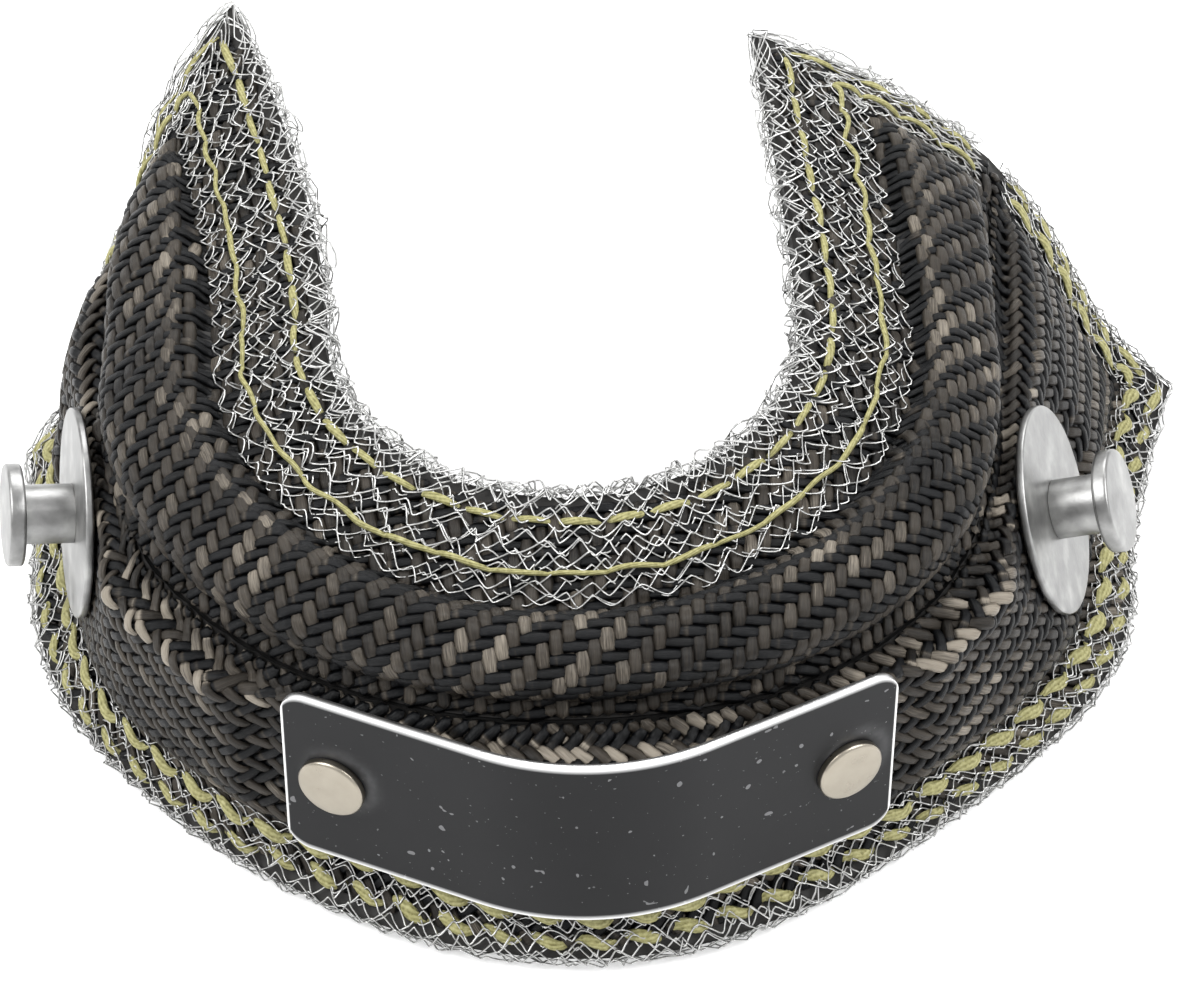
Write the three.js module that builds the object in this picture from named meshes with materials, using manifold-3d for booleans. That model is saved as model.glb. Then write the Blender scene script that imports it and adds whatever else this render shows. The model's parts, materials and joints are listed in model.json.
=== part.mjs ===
// Wastegate heat blanket: a horseshoe cap of two padded panels, sewn together along a crease.
// The roof panel runs from the neck opening out to the crease, and the wall panel from the crease
// down to the skirt edge. Each panel is a woven cover, a batting and a liner, bound round its three
// free edges by knitted wire mesh that two rows of thread hold. Two capstans on the wall take the
// closing spring, and a bent plate is riveted to the front. Units are millimetres, +Z is up.
import * as THREE from "three";
import { mergeVertices } from "three/addons/utils/BufferGeometryUtils.js";
import Module from "manifold-3d";

const wasm = await Module();
wasm.setup();

// Plan of the neck opening
const NECK_HALF_WIDTH = 28.8;
const NECK_DEPTH = 29;
const NECK_ARM_LEFT = 56;
const NECK_ARM_RIGHT = 51;
const NECK_LEAN_LEFT = 13;
const NECK_LEAN_RIGHT = -4;

// Crease between roof and wall, measured outwards from the neck
const ROOF_SIDE_REACH = 24.2;
const ROOF_FRONT_REACH = 20.5;
const ROOF_DROP = 13;
const CREASE_SHIFT = -2;
const CREASE_ARM_LEFT = 37;
const CREASE_ARM_RIGHT = 43;
const CREASE_LEAN_LEFT = -3;
const CREASE_LEAN_RIGHT = 2.5;
const CREASE_FULLNESS_RIGHT = 0.05;

// Skirt edge, measured outwards from the crease
const SKIRT_SIDE_REACH = 14.5;
const SKIRT_FRONT_REACH = 8.5;
const WALL_HEIGHT = 31.2;
const SKIRT_SHIFT = 2.5;
const SKIRT_ARM_LEFT = 21.5;
const SKIRT_ARM_RIGHT = 34;
const SKIRT_LEAN_LEFT = 2.5;
const SKIRT_LEAN_RIGHT = 8;
const SKIRT_FULLNESS_LEFT = -0.05;
const SKIRT_FULLNESS_RIGHT = -0.1;

// Layers of a panel
const COVER_THICKNESS = 0.9;
const LINER_THICKNESS = 0.9;
const MESH_THICKNESS = 0.8;
const CLEARANCE = 0.3;
const MESH_CLEARANCE = 0.45;
const THIN_PAD = 0.15; // half the space between cover and liner where no batting lies
const PAD_MARGIN = 0.8; // from the mesh to where the batting begins
const SEAM_MARGIN = 2.4; // from the crease to where the batting begins
const COVER_FROM_CREASE = 0.35;
const LINER_FROM_CREASE = 1.1;
const BINDING_FROM_CREASE = 1.2;
const ROOF_PUFF_OUT = 4.6;
const ROOF_PUFF_IN = 3;
const WALL_PUFF_OUT = 3.2;
const WALL_PUFF_IN = 3.4;
const ROOF_CROWN = 2;
const WALL_CROWN = -1;
const WALL_RIPPLE = 1; // the wall swells below the crease and draws in above the skirt

// Bound edges and their stitches
const NECK_HEM = 12;
const SKIRT_HEM = 7;
const END_HEM = 6.6;
const MESH_OVERHANG = 1; // how far the mesh fold stands off the fabric edge
const NECK_ROW_EDGE = 2.4;
const NECK_ROW_INNER = 8.6;
const SKIRT_ROW_EDGE = 1.5;
const SKIRT_ROW_INNER = 4.7;
const END_ROW_EDGE = 1.5;
const END_ROW_INNER = 4.7;
const STITCH_PITCH = 6;
const STITCH_ARCH = 0.35; // how far a fat stitch stands up in its middle
const THREAD_WIDTH = 1.5;
const FINE_THREAD_WIDTH = 0.8;
const BOBBIN_WIDTH = 0.8;
const THREAD_LIFT = 0.5; // from the mesh to a thread's underside
const CREASE_THREAD_RADIUS = 0.4;
const CREASE_THREAD_DEPTH = 3.1;
const CREASE_THREAD_REACH = 0.86; // share of the horseshoe that the crease thread joins

// Capstans
const CAPSTAN_ALONG = 0.58; // place along the wall, from 0 at the front to 1 at the end
const CAPSTAN_UP = 0.66; // place up the wall, from 0 at the skirt edge to 1 at the crease
const BASE_DISC_RADIUS = 12.7;
const BASE_DISC_THICKNESS = 1;
const SLEEVE_RADIUS = 3.6;
const SLEEVE_LENGTH = 6.1;
const CAP_RADIUS = 6.2;
const CAP_THICKNESS = 2;
const SHANK_RADIUS = 2.4;
const SHANK_CLEARANCE = 0.2;
const BACK_WASHER_RADIUS = 8;
const BACK_WASHER_THICKNESS = 1;
const SHANK_TAIL = 1.2;
const TAIL_SPREAD = 1.4; // how far the riveted tail stands out from the shank
const TAIL_BEVEL = 0.4;
const TAIL_RIM = 0.3;
const CAP_ROUNDING = 0.5;
const CAPSTAN_GRIP = 2.1; // half the wall's thickness where a capstan squeezes it
const CAPSTAN_DRAW_LEFT = 2; // how far a capstan draws the wall in
const CAPSTAN_DRAW_RIGHT = 0.5;
const DRAW_INSIDE = 4; // the draw is whole up to this far inside the base disc's rim
const DRAW_FADE = 12; // and has faded out this far outside it
const PRESS_MARGIN = 1; // hardware holds the fabric flat this far past its rim
const DISC_FADE = 8;
const PLATE_FADE = 7;
const CUT_LENGTH = 30; // length of the rods that cut holes

// Plate
const PLATE_LENGTH = 76;
const PLATE_HEIGHT = 25.4;
const PLATE_THICKNESS = 1;
const PLATE_BEND_RADIUS = 30;
const PLATE_BEND_DEGREES = 26; // to each side of the middle
const PLATE_CORNER = 3;
const PLATE_CENTRE_X = 3.7;
const PLATE_AHEAD = 9; // from the crease to the plate's front face
const PLATE_FROM_SKIRT = 7; // from the skirt edge up to the plate's lower rim
const PLATE_TILT_DEGREES = 3;
const PLATE_YAW_DEGREES = 2.5;
const RIVET_FROM_END = 6.3;
const RIVET_CAP_RADIUS = 4;
const RIVET_CAP_THICKNESS = 1.3;
const RIVET_SHANK_RADIUS = 1.5;
const RIVET_ROUNDING = 0.35;
const INNER_CAP_THICKNESS = 1;
const INNER_CAP_BEVEL = 0.3;

// How finely the soft pieces are divided
const ARC_SHARE = 0.64; // share of the horseshoe that is its round front
const ARC_STEPS = 16;
const ARM_STEPS = 3;
const ROUND_SIDES = 16;
const CUT_SIDES = 12;
const STEP = 1e-3; // of u and w, to measure how a surface runs
const NEAR_END = 0.97; // where u is turned into millimetres for distances from an end
const END_RISE = 0.2; // share of the horseshoe over which the batting fills out from an end

const COLOURS = {
  basalt: new THREE.MeshStandardMaterial({ color: 0x2b2825, roughness: 0.45, metalness: 0 }),
  batting: new THREE.MeshStandardMaterial({ color: 0xd8d4c8, roughness: 1, metalness: 0 }),
  mesh: new THREE.MeshStandardMaterial({ color: 0x9a9a98, roughness: 0.35, metalness: 0.9 }),
  thread: new THREE.MeshStandardMaterial({ color: 0xc4bd72, roughness: 0.7, metalness: 0 }),
  aluminium: new THREE.MeshStandardMaterial({ color: 0xc2c3c4, roughness: 0.4, metalness: 1 }),
  nickel: new THREE.MeshStandardMaterial({ color: 0xcfc6b4, roughness: 0.3, metalness: 1 }),
  plate: new THREE.MeshStandardMaterial({ color: 0x3c3d40, roughness: 0.4, metalness: 0.2 }),
};

const clamp = THREE.MathUtils.clamp;
const ease = (t) => Math.sqrt(1 - (1 - clamp(t, 0, 1)) ** 2);
const vector = (x, y, z) => new THREE.Vector3(x, y, z);

// Each curve is a half ellipse round the front that runs on into an arm at each side.
const neckCurve = {
  shift: 0,
  halfWidth: NECK_HALF_WIDTH,
  depth: NECK_DEPTH,
  height: WALL_HEIGHT + ROOF_DROP,
  left: { arm: NECK_ARM_LEFT, lean: NECK_LEAN_LEFT, fullness: 0 },
  right: { arm: NECK_ARM_RIGHT, lean: NECK_LEAN_RIGHT, fullness: 0 },
};
const creaseCurve = {
  shift: CREASE_SHIFT,
  halfWidth: NECK_HALF_WIDTH + ROOF_SIDE_REACH,
  depth: NECK_DEPTH + ROOF_FRONT_REACH,
  height: WALL_HEIGHT,
  left: { arm: CREASE_ARM_LEFT, lean: CREASE_LEAN_LEFT, fullness: 0 },
  right: { arm: CREASE_ARM_RIGHT, lean: CREASE_LEAN_RIGHT, fullness: CREASE_FULLNESS_RIGHT },
};
const skirtCurve = {
  shift: SKIRT_SHIFT,
  halfWidth: creaseCurve.halfWidth + SKIRT_SIDE_REACH,
  depth: creaseCurve.depth + SKIRT_FRONT_REACH,
  height: 0,
  left: { arm: SKIRT_ARM_LEFT, lean: SKIRT_LEAN_LEFT, fullness: SKIRT_FULLNESS_LEFT },
  right: { arm: SKIRT_ARM_RIGHT, lean: SKIRT_LEAN_RIGHT, fullness: SKIRT_FULLNESS_RIGHT },
};

// A point of a curve, for u from -1 at the left end through 0 at the front to 1 at the right end.
function along(curve, u) {
  const side = u < 0 ? curve.left : curve.right;
  const turn = (clamp(u / ARC_SHARE, -1, 1) * Math.PI) / 2;
  const back = Math.max(0, (Math.abs(u) - ARC_SHARE) / (1 - ARC_SHARE));
  const lean = side.lean * back ** 1.5;
  const swell = 1 + side.fullness * Math.sin(2 * turn) ** 2;
  return vector(
    curve.shift + curve.halfWidth * swell * Math.sin(turn) + Math.sign(u) * lean,
    -curve.depth * swell * Math.cos(turn) + side.arm * back,
    curve.height,
  );
}

// A panel is ruled from its bound edge, w = 0, to the crease, w = 1.
const roof = {
  edge: neckCurve,
  outwards: 1,
  crown: ROOF_CROWN,
  ripple: 0,
  puffOut: ROOF_PUFF_OUT,
  puffIn: ROOF_PUFF_IN,
  hem: NECK_HEM,
  rise: 0.32,
  fall: 0.28,
  presses: [],
  tucks: [],
};
const wall = {
  edge: skirtCurve,
  outwards: -1,
  crown: WALL_CROWN,
  ripple: -WALL_RIPPLE,
  puffOut: WALL_PUFF_OUT,
  puffIn: WALL_PUFF_IN,
  hem: SKIRT_HEM,
  rise: 0.25,
  fall: 0.12,
  presses: [],
  tucks: [],
};

// The panel's middle surface.
function middle(panel, u, w) {
  const edge = along(panel.edge, u);
  const chord = along(creaseCurve, u).sub(edge);
  const tangent = along(creaseCurve, u + STEP).sub(along(creaseCurve, u - STEP));
  const bow = panel.crown * Math.sin(Math.PI * w) + panel.ripple * Math.sin(2 * Math.PI * w);
  const across = tangent.cross(chord).normalize().multiplyScalar(-panel.outwards * bow);
  const point = edge.addScaledVector(chord, w).add(across);
  return panel.tucks.reduce((moved, tuck) => tuck(moved), point);
}

function alongPanel(panel, u, w) {
  return middle(panel, u + STEP, w).sub(middle(panel, u - STEP, w));
}

function acrossPanel(panel, u, w) {
  return middle(panel, u, w + STEP).sub(middle(panel, u, w - STEP));
}

function normal(panel, u, w) {
  const n = acrossPanel(panel, u, w).cross(alongPanel(panel, u, w)).normalize();
  return n.multiplyScalar(panel.outwards);
}

// The point at a height above the middle surface.
function at(panel, u, w, height) {
  return middle(panel, u, w).addScaledVector(normal(panel, u, w), height);
}

// Distances in millimetres from the bound edge and from an end, as shares of the panel.
const fromEdge = (panel, u, distance) =>
  distance / along(panel.edge, u).distanceTo(along(creaseCurve, u));
const fromEnd = (panel, side, w, distance) =>
  side * (1 - (distance * 2 * STEP) / alongPanel(panel, side * NEAR_END, w).length());

// The batting's limits on a panel.
const padStart = (panel, u) => fromEdge(panel, u, panel.hem + PAD_MARGIN);
const padTop = (panel, u) => 1 - fromEdge(panel, u, SEAM_MARGIN);
const padEnd = (panel, side, w) => Math.abs(fromEnd(panel, side, w, END_HEM + PAD_MARGIN));

// How full the batting is, from 0 along the bound edges and the crease to 1 in the middle.
function fullness(panel, u, w) {
  const start = padStart(panel, u);
  const share = (w - start) / (padTop(panel, u) - start);
  const end = padEnd(panel, u < 0 ? -1 : 1, w);
  const ends = ease((end - Math.abs(u)) / END_RISE);
  return ease(share / panel.rise) * ease((1 - share) / panel.fall) * ends;
}

// Heights of the cover's upper face and of the liner's lower face, where hardware presses them in.
function coverTop(panel, u, w) {
  const height = THIN_PAD + COVER_THICKNESS + panel.puffOut * fullness(panel, u, w);
  return pressed(panel, u, w, height, 1);
}

function linerBottom(panel, u, w) {
  const height = THIN_PAD + LINER_THICKNESS + panel.puffIn * fullness(panel, u, w);
  return -pressed(panel, u, w, height, -1);
}

function pressed(panel, u, w, height, face) {
  let result = height;
  for (const press of panel.presses.filter((p) => p.face === face)) {
    for (let pass = 0; pass < 2; pass++) {
      const { excess, weight } = press.meet(at(panel, u, w, face * result));
      if (excess > 0) result -= excess * weight;
    }
  }
  return Math.max(result, THIN_PAD + COVER_THICKNESS);
}

// Solids
function solidOf(geometry) {
  const bare = new THREE.BufferGeometry();
  bare.setAttribute("position", geometry.getAttribute("position"));
  if (geometry.index) bare.setIndex(geometry.index);
  const merged = mergeVertices(bare, 1e-4);
  return new wasm.Manifold(
    new wasm.Mesh({
      numProp: 3,
      vertProperties: merged.attributes.position.array,
      triVerts: new Uint32Array(merged.index.array),
    }),
  );
}

function geometryOf(solid) {
  const mesh = solid.getMesh();
  const positions = new Float32Array(mesh.vertProperties);
  return new THREE.BufferGeometry()
    .setAttribute("position", new THREE.BufferAttribute(positions, 3))
    .setIndex(new THREE.BufferAttribute(new Uint32Array(mesh.triVerts), 1));
}

function shapeFrom(points, faces) {
  const geometry = new THREE.BufferGeometry().setFromPoints(points);
  geometry.setIndex(faces.flat());
  const inward = signedVolume(points, faces) < 0;
  if (inward) geometry.setIndex(faces.map(([a, b, c]) => [a, c, b]).flat());
  return geometry;
}

function signedVolume(points, faces) {
  return faces.reduce((sum, [a, b, c]) => sum + points[a].dot(points[b].clone().cross(points[c])), 0);
}

// A thick sheet: an upper and a lower grid of points, joined all the way round.
function sheet(rows, upper, lower) {
  const columns = upper[0].length;
  const points = [...upper.flat(), ...lower.flat()];
  const top = (i, j) => i * columns + j;
  const under = (i, j) => rows * columns + i * columns + j;
  const faces = [];
  const quad = (a, b, c, d) => faces.push([a, b, c], [a, c, d]);
  for (let i = 0; i < rows - 1; i++)
    for (let j = 0; j < columns - 1; j++) {
      quad(top(i, j), top(i, j + 1), top(i + 1, j + 1), top(i + 1, j));
      quad(under(i, j), under(i + 1, j), under(i + 1, j + 1), under(i, j + 1));
    }
  for (let i = 0; i < rows - 1; i++) {
    quad(top(i, 0), top(i + 1, 0), under(i + 1, 0), under(i, 0));
    quad(top(i + 1, columns - 1), top(i, columns - 1), under(i, columns - 1), under(i + 1, columns - 1));
  }
  for (let j = 0; j < columns - 1; j++) {
    quad(top(0, j + 1), top(0, j), under(0, j), under(0, j + 1));
    quad(top(rows - 1, j), top(rows - 1, j + 1), under(rows - 1, j + 1), under(rows - 1, j));
  }
  return shapeFrom(points, faces);
}

// An ellipse of points.
function ring(centre, across, up, halfWidth, halfHeight, sides) {
  return Array.from({ length: sides }, (_, j) => {
    const angle = (2 * Math.PI * j) / sides;
    const point = centre.clone().addScaledVector(across, halfWidth * Math.cos(angle));
    return point.addScaledVector(up, halfHeight * Math.sin(angle));
  });
}

// A closed tube through rings of equal count, with flat ends.
function tube(rings) {
  const sides = rings[0].length;
  const points = rings.flat();
  const faces = [];
  for (let i = 0; i < rings.length - 1; i++)
    for (let j = 0; j < sides; j++) {
      const a = i * sides + j;
      const b = i * sides + ((j + 1) % sides);
      faces.push([a, b, b + sides], [a, b + sides, a + sides]);
    }
  const last = (rings.length - 1) * sides;
  for (let j = 1; j < sides - 1; j++) {
    faces.push([0, j + 1, j]);
    faces.push([last, last + j, last + j + 1]);
  }
  return shapeFrom(points, faces);
}

// Stations along the horseshoe at a height w: round the front, along both arms to where the
// batting ends, and the two ends.
function stations(panel, w) {
  const list = [];
  for (let i = -ARC_STEPS / 2; i <= ARC_STEPS / 2; i++) list.push((i * 2 * ARC_SHARE) / ARC_STEPS);
  for (let i = 1; i <= ARM_STEPS; i++) {
    const reach = (side) => ARC_SHARE + ((padEnd(panel, side, w) - ARC_SHARE) * i) / ARM_STEPS;
    list.push(reach(1));
    list.unshift(-reach(-1));
  }
  return [-1, ...list, 1];
}

// Places across a panel: the bound edge, the batting's own stretch and the crease.
const PAD_SHARES = [0, 0.12, 0.32, 0.62, 0.88, 1];

function places(panel, u, fromCrease) {
  const start = padStart(panel, u);
  const top = padTop(panel, u);
  const pad = PAD_SHARES.map((share) => start + (top - start) * share);
  return [0, start / 2, ...pad, 1 - fromEdge(panel, u, fromCrease)];
}

// A grid of places [u, w] over a whole panel.
function gridOf(panel, fromCrease) {
  const count = stations(panel, 0).length;
  return Array.from({ length: count }, (_, i) => {
    const nominal = stations(panel, 0.5)[i];
    return places(panel, nominal, fromCrease).map((w) => [stations(panel, w)[i], w]);
  });
}

function layer(panel, grid, upperHeight, lowerHeight) {
  const face = (height) =>
    grid.map((row) => row.map(([u, w]) => at(panel, u, w, height(panel, u, w))));
  return sheet(grid.length, face(upperHeight), face(lowerHeight));
}

function coverOf(panel) {
  const lower = (p, u, w) => coverTop(p, u, w) - COVER_THICKNESS;
  return layer(panel, gridOf(panel, COVER_FROM_CREASE), coverTop, lower);
}

function linerOf(panel) {
  const upper = (p, u, w) => linerBottom(p, u, w) + LINER_THICKNESS;
  return layer(panel, gridOf(panel, LINER_FROM_CREASE), upper, linerBottom);
}

// The batting fills the space between cover and liner where the panel is full.
function battingOf(panel) {
  const grid = gridOf(panel, COVER_FROM_CREASE)
    .slice(2, -2)
    .map((row) => row.slice(3, -2));
  const gap = COVER_THICKNESS + CLEARANCE;
  const least = (THIN_PAD * 2) / 3;
  const upper = (p, u, w) => Math.max(coverTop(p, u, w) - gap, least);
  const lower = (p, u, w) => Math.min(linerBottom(p, u, w) + gap, -least);
  return layer(panel, grid, upper, lower);
}

// The bound edge of a panel runs up one end, round the neck or skirt, and down the other end.
// Each stop names a point on the fabric edge and the point where the mesh stops on the panel.
function boundPath(panel) {
  const stop = (edge, inside) => ({ edge, inside });
  const hem = (u) => fromEdge(panel, u, panel.hem);
  const end = (side) =>
    places(panel, side, BINDING_FROM_CREASE)
      .slice(3)
      .reverse()
      .map((w) => stop([side, w], [fromEnd(panel, side, w, END_HEM), w]));
  const corner = (side) => {
    const inner = fromEnd(panel, side, hem(side), END_HEM);
    const start = padStart(panel, side);
    const mitre = 0.3 * (start - hem(side));
    return [
      stop([side, start], [fromEnd(panel, side, start, END_HEM), start]),
      stop([side, start / 2], [inner, hem(side) + mitre]),
      stop([side, 0], [inner, hem(side)]),
      stop([(side + inner) / 2, 0], [inner - side * mitre * 0.3, hem(side)]),
    ];
  };
  const main = stations(panel, 0)
    .slice(1, -1)
    .map((u) => stop([u, 0], [u, hem(u)]));
  return [...end(-1), ...corner(-1), ...main, ...corner(1).reverse(), ...end(1).reverse()];
}

// Mesh folded over the fabric edge: a leg on the cover, a round fold and a leg on the liner.
function bindingOf(panel) {
  const legSteps = 2;
  const foldAngles = [0.25, 0.5, 0.75].map((share) => share * Math.PI);
  const path = boundPath(panel);
  const skin = (extra) =>
    path.map(({ edge, inside }) => {
      const place = (t) => [
        edge[0] + (inside[0] - edge[0]) * t,
        edge[1] + (inside[1] - edge[1]) * t,
      ];
      const leg = (height, sign) => {
        const points = [];
        for (let i = 0; i <= legSteps; i++) {
          const [u, w] = place(i / legSteps);
          points.push(at(panel, u, w, height(panel, u, w) + sign * (MESH_CLEARANCE + extra)));
        }
        return points;
      };
      const upper = leg(coverTop, 1).reverse();
      const lower = leg(linerBottom, -1);
      const from = upper[legSteps];
      const to = lower[0];
      const centre = from.clone().add(to).multiplyScalar(0.5);
      const outward = foldDirection(panel, edge);
      const fold = foldAngles.map((angle) =>
        centre
          .clone()
          .addScaledVector(from.clone().sub(centre), Math.cos(angle))
          .addScaledVector(outward, (MESH_OVERHANG + extra) * Math.sin(angle)),
      );
      return [...upper, ...fold, ...lower];
    });
  const outside = skin(MESH_THICKNESS);
  return sheet(outside.length, outside, skin(0));
}

// Away from the panel, in its surface, at a point of its fabric edge.
function foldDirection(panel, [u, w]) {
  const direction = vector(0, 0, 0);
  if (w === 0) direction.sub(acrossPanel(panel, u, 0).normalize());
  if (Math.abs(u) === 1) direction.addScaledVector(alongPanel(panel, u, w).normalize(), Math.sign(u));
  return direction;
}

// One row of stitches as a run of places (u, w), at set distances from the edge and the ends.
function rowRoute(panel, fromEdgeMm, fromEndMm) {
  const fine = 24;
  const w0 = (u) => fromEdge(panel, u, fromEdgeMm);
  const endRun = (side) => {
    const run = [];
    const seamStop = 0.94;
    const first = w0(fromEnd(panel, side, 0, fromEndMm));
    for (let i = 0; i <= fine; i++) {
      const w = seamStop + ((first - seamStop) * i) / fine;
      run.push([fromEnd(panel, side, w, fromEndMm), w]);
    }
    return run;
  };
  const left = endRun(-1);
  const right = endRun(1).reverse();
  const start = left[fine][0];
  const stop = right[0][0];
  const mainSteps = 160;
  const main = [];
  for (let i = 1; i < mainSteps; i++) {
    const u = start + ((stop - start) * i) / mainSteps;
    main.push([u, w0(u)]);
  }
  return [...left, ...main, ...right];
}

// A thread on the mesh. Each stitch swells between two holes, where it is drawn in.
function threadOf(panel, route, face, width, stepsPerStitch, swell) {
  const surface = face > 0 ? coverTop : linerBottom;
  const skin = MESH_CLEARANCE + MESH_THICKNESS;
  const onSkin = ([u, w], lift) => at(panel, u, w, surface(panel, u, w) + face * (skin + lift));
  const line = route.map((place) => onSkin(place, 0));
  const lengths = line.reduce(
    (sum, point, i) => [...sum, i ? sum[i - 1] + point.distanceTo(line[i - 1]) : 0],
    [],
  );
  const total = lengths[lengths.length - 1];
  const stitches = Math.round(total / STITCH_PITCH);
  const count = stitches * stepsPerStitch;
  const samples = [];
  let k = 0;
  for (let i = 0; i <= count; i++) {
    const goal = (total * i) / count;
    while (k < lengths.length - 2 && lengths[k + 1] < goal) k++;
    const t = clamp((goal - lengths[k]) / (lengths[k + 1] - lengths[k]), 0, 1);
    const [a, b] = [route[k], route[k + 1]];
    const phase = (i % stepsPerStitch) / stepsPerStitch;
    samples.push({
      place: [a[0] + (b[0] - a[0]) * t, a[1] + (b[1] - a[1]) * t],
      full: Math.sin(Math.PI * phase),
    });
  }
  const sides = 4;
  const centres = samples.map(({ place, full }) => {
    const thick = (width * (1 - swell) + width * swell * full) / 2;
    return onSkin(place, THREAD_LIFT + thick / 2 + STITCH_ARCH * swell * full);
  });
  const rings = centres.map((centre, i) => {
    const { place, full } = samples[i];
    const before = centres[Math.max(0, i - 1)];
    const after = centres[Math.min(centres.length - 1, i + 1)];
    const tangent = after.clone().sub(before).normalize();
    const up = normal(panel, place[0], place[1]).multiplyScalar(face);
    const across = tangent.clone().cross(up).normalize();
    const half = (width * (1 - swell) + width * swell * full) / 2;
    return ring(centre, across, up, half, half / 2, sides);
  });
  return tube(rings);
}

// The thread that joins the two panels lies inside the crease.
function creaseThread() {
  const near = 0.9;
  const sides = 5;
  const list = stations(wall, near).filter((u) => Math.abs(u) < CREASE_THREAD_REACH);
  const spine = list.map((u) => {
    const crease = along(creaseCurve, u);
    const towardsRoof = middle(roof, u, near).sub(crease).normalize();
    const towardsWall = middle(wall, u, near).sub(crease).normalize();
    return crease.addScaledVector(towardsRoof.add(towardsWall).normalize(), CREASE_THREAD_DEPTH);
  });
  const rings = spine.map((centre, i) => {
    const before = spine[Math.max(0, i - 1)];
    const after = spine[Math.min(spine.length - 1, i + 1)];
    const tangent = after.clone().sub(before).normalize();
    const across = tangent.clone().cross(vector(0, 0, 1)).normalize();
    const up = across.clone().cross(tangent);
    return ring(centre, across, up, CREASE_THREAD_RADIUS, CREASE_THREAD_RADIUS, sides);
  });
  return tube(rings);
}

// A place whose own Z axis points out of the wall.
function frameAt(origin, axis) {
  const turn = new THREE.Quaternion().setFromUnitVectors(vector(0, 0, 1), axis);
  return new THREE.Matrix4().compose(origin, turn, vector(1, 1, 1));
}

// A turned part from a profile of [radius, height] points.
function turned(profile, frame, sides = ROUND_SIDES) {
  const points = profile.map(([r, z]) => new THREE.Vector2(r, z));
  const geometry = new THREE.LatheGeometry(points, sides);
  geometry.rotateX(Math.PI / 2);
  geometry.deleteAttribute("normal");
  geometry.deleteAttribute("uv");
  let merged = mergeVertices(geometry, 1e-5);
  merged.applyMatrix4(frame);
  if (geometryVolume(merged) < 0) merged = flipped(merged);
  return merged;
}

function geometryVolume(geometry) {
  const position = geometry.getAttribute("position");
  const point = (i) => vector().fromBufferAttribute(position, geometry.index.array[i]);
  let sum = 0;
  for (let i = 0; i < geometry.index.count; i += 3)
    sum += point(i).dot(point(i + 1).cross(point(i + 2)));
  return sum;
}

function flipped(geometry) {
  const index = Array.from(geometry.index.array);
  for (let i = 0; i < index.length; i += 3) [index[i + 1], index[i + 2]] = [index[i + 2], index[i + 1]];
  geometry.setIndex(index);
  return geometry;
}

function rod(radius, from, to, frame) {
  return turned([[0, from], [radius, from], [radius, to], [0, to]], frame, CUT_SIDES);
}

// A flat ring with softened rims, standing on height z.
function washer(outer, inner, thickness, z, frame) {
  const soft = 0.25 * thickness;
  const profile = [
    [inner, z],
    [outer - soft, z],
    [outer, z + soft],
    [outer, z + thickness - soft],
    [outer - soft, z + thickness],
    [inner, z + thickness],
    [inner, z],
  ];
  return turned(profile, frame);
}

// Where the two capstans stand: the middle surface's own place and normal.
function capstanFrame(side) {
  const origin = middle(wall, side * CAPSTAN_ALONG, CAPSTAN_UP);
  return frameAt(origin, normal(wall, side * CAPSTAN_ALONG, CAPSTAN_UP));
}

// A round piece of hardware holds the fabric down to a plane at its seat.
function roundPress(frame, radius, seat, face) {
  const inverse = frame.clone().invert();
  return {
    face,
    meet(point) {
      const local = point.clone().applyMatrix4(inverse);
      const distance = Math.hypot(local.x, local.y) - radius;
      return {
        excess: face * local.z - seat,
        weight: 1 - THREE.MathUtils.smoothstep(distance, PRESS_MARGIN, DISC_FADE),
      };
    },
  };
}

// The plate's frame: X along it, Y up it, Z out of its front.
const plateFrame = new THREE.Matrix4()
  .makeTranslation(
    PLATE_CENTRE_X,
    -(creaseCurve.depth + PLATE_AHEAD),
    PLATE_FROM_SKIRT + PLATE_HEIGHT / 2,
  )
  .multiply(new THREE.Matrix4().makeRotationZ(THREE.MathUtils.degToRad(PLATE_YAW_DEGREES)))
  .multiply(new THREE.Matrix4().makeRotationX(THREE.MathUtils.degToRad(90 - PLATE_TILT_DEGREES)));

// Bends the flat plate: s along it and d behind its front face, in the plate's frame.
function plateBend(s, d) {
  const limit = THREE.MathUtils.degToRad(PLATE_BEND_DEGREES);
  const angle = clamp(s / PLATE_BEND_RADIUS, -limit, limit);
  const straight = s - angle * PLATE_BEND_RADIUS;
  const radius = PLATE_BEND_RADIUS - d;
  return {
    x: radius * Math.sin(angle) + straight * Math.cos(angle),
    z: radius * Math.cos(angle) - PLATE_BEND_RADIUS - straight * Math.sin(angle),
    angle,
  };
}

function plateGeometry() {
  const half = PLATE_LENGTH / 2;
  const cornerShares = [0, 0.1, 0.3, 0.6, 1];
  const bendEnd = PLATE_BEND_RADIUS * THREE.MathUtils.degToRad(PLATE_BEND_DEGREES);
  const bendSteps = 10;
  const ends = cornerShares.map((share) => half - PLATE_CORNER * share);
  const list = [...ends.map((s) => -s)];
  for (let i = 0; i <= bendSteps; i++) list.push(-bendEnd + (2 * bendEnd * i) / bendSteps);
  list.push(...ends.reverse());
  const face = (depth) =>
    list.map((s) => {
      const intoCorner = Math.max(0, PLATE_CORNER - (half - Math.abs(s)));
      const cut = PLATE_CORNER - Math.sqrt(PLATE_CORNER ** 2 - intoCorner ** 2);
      const high = PLATE_HEIGHT / 2 - cut;
      const { x, z } = plateBend(s, depth);
      return [vector(x, -high, z), vector(x, high, z)].map((p) => p.applyMatrix4(plateFrame));
    });
  return sheet(list.length, face(0), face(PLATE_THICKNESS));
}

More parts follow.
